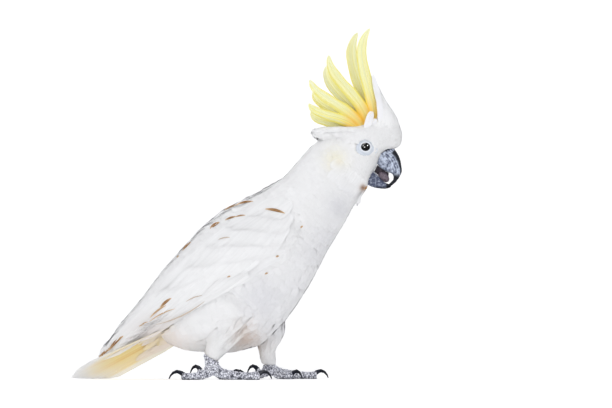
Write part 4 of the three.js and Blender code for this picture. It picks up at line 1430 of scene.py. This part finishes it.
# %% Foot of the crest
# root and tip (x, z), distance from the middle at both, width; all in mm
CREST_FOOT = [
    ((175.5, 306), (161.5, 367), (10.5, 5.5), 7),
    ((173, 298), (168.5, 342), (13, 9), 7.5),
    ((153, 295), (160.5, 321), (14, 11), 9),
    ((161, 296), (165, 312), (13, 11), 6.5),
]
FOOT_HOLLOW, FOOT_CLEARANCE = 30, 0.02 * MM  # how strongly a vane bends towards the head at its rims


def build_crest_foot():
    """White feathers that stand over the roots of the crest on both sides."""
    pattern = COVERT_VANE
    rows, widths = pattern.rows[pattern.place][:, None], pattern.widths[pattern.place]
    coat = Coat("crest_foot", tiles=3)
    for side in SIDES.values():
        for root, tip, away, width in CREST_FOOT:
            root_place = np.array((root[0], side * away[0], root[1])) * MM
            length = np.array((tip[0], side * away[1], tip[1])) * MM - root_place
            across_way = np.cross(length / np.linalg.norm(length), (0, side, 0))
            reach = width / 2 * widths * pattern.spread(1)[0] * MM
            points = root_place + length * rows + across_way * reach[:, None]
            points[:, 1] -= side * (reach ** 2 * FOOT_HOLLOW - FOOT_CLEARANCE)
            coat.add(pattern, points[None], np.tile(PLUME_GREY, (1, len(points), 1)), points[:1])
    coat.build(white_vane)


build_crest_foot()

# %% [markdown]
# ## Bill, mouth and tongue
# The bill is a hollow sheath of horn over bone, ridged where it grows in layers and dusted with powder from
# the feathers. The solids give its shape, but in facets. They are turned into fine voxels and smoothed,
# which rounds the facets and leaves a mesh dense enough to carry ridges and colours point by point.

# %% Round and paint a solid
def closeup(name, node, voxel, rounds):
    """A fine, smooth copy of a solid."""
    mesh = fused(name, [node], voxel, rounds)
    mesh.shade_smooth()
    obj = new_object(name, mesh)
    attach(obj, "root")
    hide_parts(node)
    print(f"{name}: {len(mesh.polygons)} faces")
    return obj


def raised(obj, points, normals, heights):
    """Moves the points of a piece along their normals."""
    move_points(obj.data, points + normals * heights[:, None])


def painted(obj, colours, material):
    paint(obj.data, colours)
    obj.data.materials.append(material)


def noise_at(points, size, seed):
    """Soft noise from -1 to 1 with lumps of a size."""
    return np.array([noise.noise(Vector(point) / size + Vector((seed, seed, seed))) for point in points])


def grain_group():
    """Fine lumps in Object coordinates, as a roughness between two values and as a height."""
    group = bpy.data.node_groups.new("fine_grain", "ShaderNodeTree")
    sockets = {"Scale": "INPUT", "Smoothest": "INPUT", "Roughest": "INPUT", "Roughness": "OUTPUT",
               "Height": "OUTPUT"}
    for name, kind in sockets.items():
        group.interface.new_socket(name, in_out=kind, socket_type="NodeSocketFloat")
    nodes, links = group.nodes, group.links
    enter, leave = nodes.new("NodeGroupInput"), nodes.new("NodeGroupOutput")
    place, grain = nodes.new("ShaderNodeTexCoord"), nodes.new("ShaderNodeTexNoise")
    rough = nodes.new("ShaderNodeMapRange")
    grain.inputs["Detail"].default_value = 3
    links.new(enter.outputs["Scale"], grain.inputs["Scale"])
    links.new(enter.outputs["Smoothest"], rough.inputs["To Min"])
    links.new(enter.outputs["Roughest"], rough.inputs["To Max"])
    links.new(place.outputs["Object"], grain.inputs["Vector"])
    links.new(grain.outputs["Fac"], rough.inputs["Value"])
    links.new(rough.outputs["Result"], leave.inputs["Roughness"])
    links.new(grain.outputs["Fac"], leave.inputs["Height"])
    return group


GRAIN = grain_group()
GRAIN_RELIEF = 0.3  # height of the lumps as a share of their size


def painted_material(name, roughness, rough_spread, grain_size, bump):
    """Colour from the Paint attribute, with fine grain in the roughness and the bump."""
    material, nodes, links, shader = principled(name)
    colour, grain = nodes.new("ShaderNodeAttribute"), nodes.new("ShaderNodeGroup")
    colour.attribute_name = "Paint"
    links.new(colour.outputs["Color"], shader.inputs["Base Color"])
    grain.node_tree = GRAIN
    grain.inputs["Scale"].default_value = 1 / grain_size
    grain.inputs["Smoothest"].default_value = roughness - rough_spread
    grain.inputs["Roughest"].default_value = roughness + rough_spread
    links.new(grain.outputs["Roughness"], shader.inputs["Roughness"])
    lumps = nodes.new("ShaderNodeBump")
    lumps.inputs["Strength"].default_value = bump
    lumps.inputs["Distance"].default_value = grain_size * GRAIN_RELIEF
    links.new(grain.outputs["Height"], lumps.inputs["Height"])
    links.new(lumps.outputs["Normal"], shader.inputs["Normal"])
    return material


print("group inputs and outputs:", [item.name for item in GRAIN.interface.items_tree])

# %% [markdown]
# ## The two halves of the bill
# The upper half shows ridges that run from base to tip, so they are rings round the middle of its curve.
# Powder makes the sides blue grey, and use keeps the front and the tip black; painted shade darkens the
# edge of the gape and the top under the brow. The lower half is darker, with a painted highlight along its
# cutting edge and painted shade underneath. Colours sit on the points, since each part has its own.

# %% Upper and lower bill
HORN_BLOOM = np.array((0.55, 0.61, 0.74))
HORN_DARK = np.array((0.07, 0.085, 0.15))
HORN_BLACK = np.array((0.004, 0.005, 0.011))
# painted highlight along the lower bill's cutting edge
HORN_PAINTED_HIGHLIGHT = np.array((0.75, 0.76, 0.80))
BILL_CENTRE = (160, 246)  # middle of the upper bill's curve, (x, z) in mm
RIDGE_RATE, RIDGE_HEIGHT = 2.3, 0.1 * MM  # the ridges pass at this many radians per mm
bill_horn = painted_material("bill_horn", 0.5, 0.12, 0.7 * MM, 0.25)


def build_upper_bill():
    obj = closeup("upper_bill_horn", "upper_bill", 0.45 * MM, 8)
    points, normals = points_and_normals(obj.data)
    x, z = points[:, 0] / MM, points[:, 2] / MM
    arc = np.hypot(x - BILL_CENTRE[0], z - BILL_CENTRE[1])
    turn = np.arctan2(z - BILL_CENTRE[1], x - BILL_CENTRE[0])
    wave = arc * RIDGE_RATE + 1.3 * noise_at(points, 9 * MM, 3)
    ridge = np.sin(wave) * ((arc - 20) / 8).clip(0, 1)
    raised(obj, points, normals, ridge * RIDGE_HEIGHT)
    bloom = 0.55 + 0.9 * noise_at(points, 3.4 * MM, 1) + 0.6 * noise_at(points, 1.5 * MM, 2) + 0.3 * ridge
    colours = mixed(HORN_DARK, HORN_BLOOM, bloom.clip(0, 1))
    # Use keeps the front and the tip black. The edge along the gape gets painted shade of the mouth behind
    # it, and the edge under the brow painted shadow of the feathers over it.
    front = ((arc - 33.6) / 2.2).clip(0, 1) * (turn < 0.8)
    tip = ((0.06 - turn) / 0.18).clip(0, 1)
    gape_shade = ((1.2 - (z - 246.5 - 0.9 * (181 - x).clip(0, None) ** 0.85)) / 1.2).clip(0, 1) * (x < 183) * 0.93
    brow_shade = (z - 272.4 - 0.4 * (x - 177.6)).clip(0, 1) * 0.9
    black = np.maximum.reduce([front * 0.96, tip * 0.97, gape_shade, brow_shade])
    painted(obj, mixed(colours, HORN_BLACK, black), bill_horn)


def build_lower_bill():
    obj = closeup("lower_bill_horn", "lower_bill", 0.45 * MM, 8)
    points, _ = points_and_normals(obj.data)
    x, z = points[:, 0] / MM, points[:, 2] / MM
    bloom = 0.05 + 0.8 * noise_at(points, 2.0 * MM, 5) + 0.5 * noise_at(points, 1.2 * MM, 6)
    colours = mixed(HORN_DARK, HORN_BLOOM, bloom.clip(0, 1))
    edge = np.abs((z - 249.2) + (x - 161.4) * 0.778) / 1.27  # distance from the cutting edge
    # a painted highlight along the cutting edge
    colours = mixed(colours, HORN_PAINTED_HIGHLIGHT, (1 - edge / 1.1).clip(0, 1) * 0.95 * (x < 180))
    # painted shade along the underside of the lower bill
    underside_shade = ((231.5 - z) / 2.5).clip(0, 1) * 0.75
    front = ((x - 176.5) / 2.0).clip(0, 1) * 0.96
    painted(obj, mixed(colours, HORN_BLACK, np.maximum(underside_shade, front)), bill_horn)


build_upper_bill()
build_lower_bill()

# %% [markdown]
# ## Tongue and mouth lining
# The tongue is a thick, wet, grey pad, pushed forward between the halves of the bill. The lining behind it
# is nearly black, partly its own dark colour and partly painted shade, which makes the open bill read as
# deep. Both are rounded solids with soft lumps.

# %% Tongue and mouth
TONGUE_GREY_AND_HIGHLIGHT = np.array((0.23, 0.18, 0.22))
TONGUE_DARK_AND_SHADE = np.array((0.03, 0.02, 0.03))
TONGUE_LUMPS = 0.25 * MM
wet_flesh = painted_material("wet_flesh", 0.38, 0.08, 0.8 * MM, 0.3)


def build_tongue():
    obj = closeup("tongue_flesh", "tongue", 0.4 * MM, 5)
    points, normals = points_and_normals(obj.data)
    lumps = noise_at(points, 1.6 * MM, 8)
    raised(obj, points, normals, lumps * TONGUE_LUMPS)
    # the tops of the lumps get a painted grey highlight and the hollows between them painted shade
    painted(obj, mixed(TONGUE_DARK_AND_SHADE, TONGUE_GREY_AND_HIGHLIGHT, (0.6 + 0.6 * lumps).clip(0, 1)), wet_flesh)


def build_mouth():
    obj = closeup("mouth_lining", "mouth", 0.4 * MM, 2)
    points, _ = points_and_normals(obj.data)
    # nearly black: its own dark colour together with painted shade inside the mouth
    painted(obj, mixed(TONGUE_DARK_AND_SHADE, TONGUE_GREY_AND_HIGHLIGHT * 0.4, noise_at(points, 2 * MM, 9).clip(0, 1)), wet_flesh)


build_tongue()
build_mouth()

# %% [markdown]
# ## Eyeballs
# A cockatoo's eye is a nearly black ball under a clear, wet cornea. What shows of it is mostly the small
# bright points of the lamps, so it is a plain sphere with a hard coat over a very dark base.

# %% Eyeballs
dark_eye = principled("dark_eye", Base_Color=(0.003, 0.0025, 0.0025, 1), Roughness=0.06,
                      Specular_IOR_Level=1.0, IOR=1.7, Coat_Weight=1.0, Coat_IOR=1.9)[0]


def build_eye(name, side):
    bm = bmesh.new()
    bmesh.ops.create_uvsphere(bm, u_segments=48, v_segments=24, radius=EYE_RADIUS)
    bmesh.ops.rotate(bm, verts=bm.verts, matrix=Matrix.Rotation(math.pi / 2, 3, "X"))
    bmesh.ops.translate(bm, verts=bm.verts, vec=(EYE_PLACE.x, side * EYE_OUT, EYE_PLACE.z))
    mesh = mesh_from(bm, f"eyeball_{name}")
    mesh.shade_smooth()
    ball = new_object(f"eyeball_{name}", mesh, dark_eye)
    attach(ball, "root")
    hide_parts(f"eye_{name}")
    print(f"eyeball_{name}: {len(mesh.polygons)} faces")


for name, side in SIDES.items():
    build_eye(name, side)

# %% [markdown]
# ## Bare rings round the eyes
# The ball shows only through a small round opening. A thin pale lid rims it, and a ring of bare, finely
# wrinkled, bluish skin lies round the lid. The ring is a set of ellipses bridged into one sheet that
# follows the ball inside and the head outside. A cut in the head would not rest on the ball so closely.

# %% Bare rings
EYE_OPENING = (5.6 * MM, 5.1 * MM)
# size between the opening (0) and the outer rim (1), lift over the head's surface in mm, paleness
RING_PROFILE = [(-0.03, -0.6, 0.0), (0.0, 0.5, 0.5), (0.06, 1.2, 1.0), (0.14, 1.3, 1.0), (0.22, 1.0, 0.8),
                (0.32, 0.8, 0.6), (0.45, 0.7, 0.55), (0.6, 0.5, 0.5), (0.75, 0.3, 0.55), (0.9, 0.0, 0.6),
                (1.0, -0.6, 0.7), (1.15, -2.2, 0.7)]
RING_AROUND = 96
LID_THICKNESS = 0.35 * MM
LID_WHITE = np.array((0.82, 0.84, 0.88))
RING_BLUE = np.array((0.37, 0.44, 0.54))
RING_OVERLAP, RING_SINK = 1.04, 0.8 * MM  # the rim goes a little past and under the first feathers
WRINKLES, WRINKLE_HEIGHT, FOLDS, FOLD_HEIGHT = 31, 0.13, 26, 0.16  # heights in mm
bare_skin = painted_material("bare_skin", 0.55, 0.1, 0.5 * MM, 0.3)


def build_eye_ring(name, side):
    bm = bmesh.new()
    outer_centre = EYE_PLACE + BARE_RING_SHIFT
    rings, shades = [], []
    for share, lift, pale in RING_PROFILE:
        made = bmesh.ops.create_circle(bm, segments=RING_AROUND, radius=1, cap_ends=False)["verts"]
        centre = EYE_PLACE.lerp(outer_centre, share)
        half = [EYE_OPENING[i] + (BARE_RING[i] * RING_OVERLAP - EYE_OPENING[i]) * share for i in (0, 1)]
        angles = [math.atan2(v.co.y, v.co.x) for v in made]
        spots = [(centre.x + half[0] * math.cos(a), centre.z + half[1] * math.sin(a)) for a in angles]
        surface, _ = side_view(coat_form, side, spots)
        for v, a, (x, z), place in zip(made, angles, spots, surface):
            wrinkle = WRINKLE_HEIGHT * math.sin(a * WRINKLES + share * 9) * max(0, share) * (1.2 - share)
            fold = FOLD_HEIGHT * math.sin(share * FOLDS + 1.6 * math.sin(a * 2))
            gap = 1 - ((x - EYE_PLACE.x) ** 2 + (z - EYE_PLACE.z) ** 2) / EYE_RADIUS ** 2
            ball = EYE_OUT + EYE_RADIUS * math.sqrt(max(gap, 0.02))
            ease = min(max((share - 0.05) / 0.5, 0), 1)
            away = ball * (1 - ease) + (abs(place[1]) - RING_SINK) * ease
            level = away + (lift * (0.45 + 0.55 * ease) + wrinkle + fold * 0.6) * MM
            if share >= 0:
                level = max(level, ball + LID_THICKNESS)
            v.co = (x, side * level, z)
            shades.append(pale + 0.25 * wrinkle - 0.1 * fold)
        rings.append(made)
    bm.edges.ensure_lookup_table()
    for inner, outer in zip(rings, rings[1:]):
        edges = [e for e in bm.edges if any(all(v in ring for v in e.verts) for ring in (inner, outer))]
        bmesh.ops.bridge_loops(bm, edges=edges)
    bmesh.ops.recalc_face_normals(bm, faces=bm.faces)
    bm.normal_update()
    bm.faces.ensure_lookup_table()
    if bm.faces[0].normal.y * side < 0:
        bmesh.ops.reverse_faces(bm, faces=bm.faces)
    mesh = mesh_from(bm, f"eye_ring_{name}")
    mesh.shade_smooth()
    paint(mesh, mixed(RING_BLUE, LID_WHITE, np.array(shades).clip(0, 1)))
    ring = new_object(f"eye_ring_{name}", mesh, bare_skin)
    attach(ring, "root")
    print(f"eye_ring_{name}: {len(mesh.polygons)} faces")


for name, side in SIDES.items():
    build_eye_ring(name, side)

# %% [markdown]
# ## Feet
# The feet are covered with small raised scales that part at dark creases, with pale powder on top. Two
# toes point forward and two back. Scales are cells of a Voronoi pattern: the distance to the cell's edge
# lifts the surface and also chooses its colour.

# %% Scaly feet
SCALE_PALE = np.array((0.94, 0.95, 1.0))
SCALE_MID = np.array((0.46, 0.47, 0.57))
SCALE_DARK = np.array((0.008, 0.010, 0.022))
SCALE_SIZE, SCALE_STRETCH = 3.0 * MM, (1.25, 1.0, 1.0)
SCALE_RELIEF, SOLE_HEIGHT, FLOOR_GAP = 1.5 * MM, 4.0 * MM, 0.05 * MM
CREASE_SHARPNESS = 2.2
scaly = painted_material("scaly_skin", 0.62, 0.1, 0.5 * MM, 0.3)


def cell_edges(points, size):
    """0 on the creases between Voronoi cells and about 1 in their middles."""
    gaps = np.array([noise.voronoi(Vector(point) / size)[0][:2] for point in points])
    return ((gaps[:, 1] - gaps[:, 0]) * CREASE_SHARPNESS).clip(0, 1)


def build_foot(name):
    obj = closeup(f"foot_scales_{name}", f"foot_{name}", 0.75 * MM, 5)
    points, normals = points_and_normals(obj.data)
    cells = cell_edges(points * SCALE_STRETCH, SCALE_SIZE)
    lifted = points + normals * ((cells ** 0.5 - 0.5) * SCALE_RELIEF)[:, None]
    lifted[:, 2] = lifted[:, 2].clip(FLOOR_GAP, None)
    move_points(obj.data, lifted)
    powder = (0.5 + 0.5 * noise_at(points, 5 * MM, 4)).clip(0, 1)
    colours = mixed(SCALE_MID, SCALE_PALE, (cells * (0.3 + 1.1 * powder)).clip(0, 1))
    colours = mixed(colours, SCALE_DARK, ((0.36 - cells) / 0.3).clip(0, 1))
    # painted shade on the lowest few mm of the toes, where they face the floor
    sole_shade = ((SOLE_HEIGHT - points[:, 2]) / SOLE_HEIGHT).clip(0, 1)
    painted(obj, mixed(colours, SCALE_DARK, sole_shade * (1 - powder) * 1.4), scaly)


for name in SIDES:
    build_foot(name)

# %% [markdown]
# ## Claws
# A claw is a curved cone of black horn over the last bone of a toe. It comes out of the scales slightly
# thinner than the toe and paler at its root, where it is new. The solid already has the curve, so it is
# only rounded and slimmed towards its root.

# %% Claws
CLAW_SLIMMING = 0.35 * MM  # taken off the radius at the root, and less and less towards the tip
CLAW_BLACK = np.array((0.006, 0.008, 0.016))
CLAW_BASE = np.array((0.030, 0.034, 0.055))
claw_horn = painted_material("claw_horn", 0.32, 0.08, 0.8 * MM, 0.15)


def build_claw(node):
    obj = closeup(f"{node}_horn", node, 0.4 * MM, 3)
    points, normals = points_and_normals(obj.data)
    foot = "right" if "right" in node else "left"
    low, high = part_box(f"foot_{foot}")
    middle = low.lerp(high, 0.5)
    away = np.hypot(points[:, 0] - middle.x, points[:, 1] - middle.y)
    share = 1 - (away - away.min()) / np.ptp(away)
    raised(obj, points, normals, -CLAW_SLIMMING * share)
    painted(obj, mixed(CLAW_BLACK, CLAW_BASE, (share * 1.4 - 0.6).clip(0, 1)), claw_horn)


for node in [n for n in frame["nodes"] if n.startswith("claw_")]:
    build_claw(node)

# %% [markdown]
# ## Size
# Feathers stand a little past the solids in some places and stay a little inside them in others.
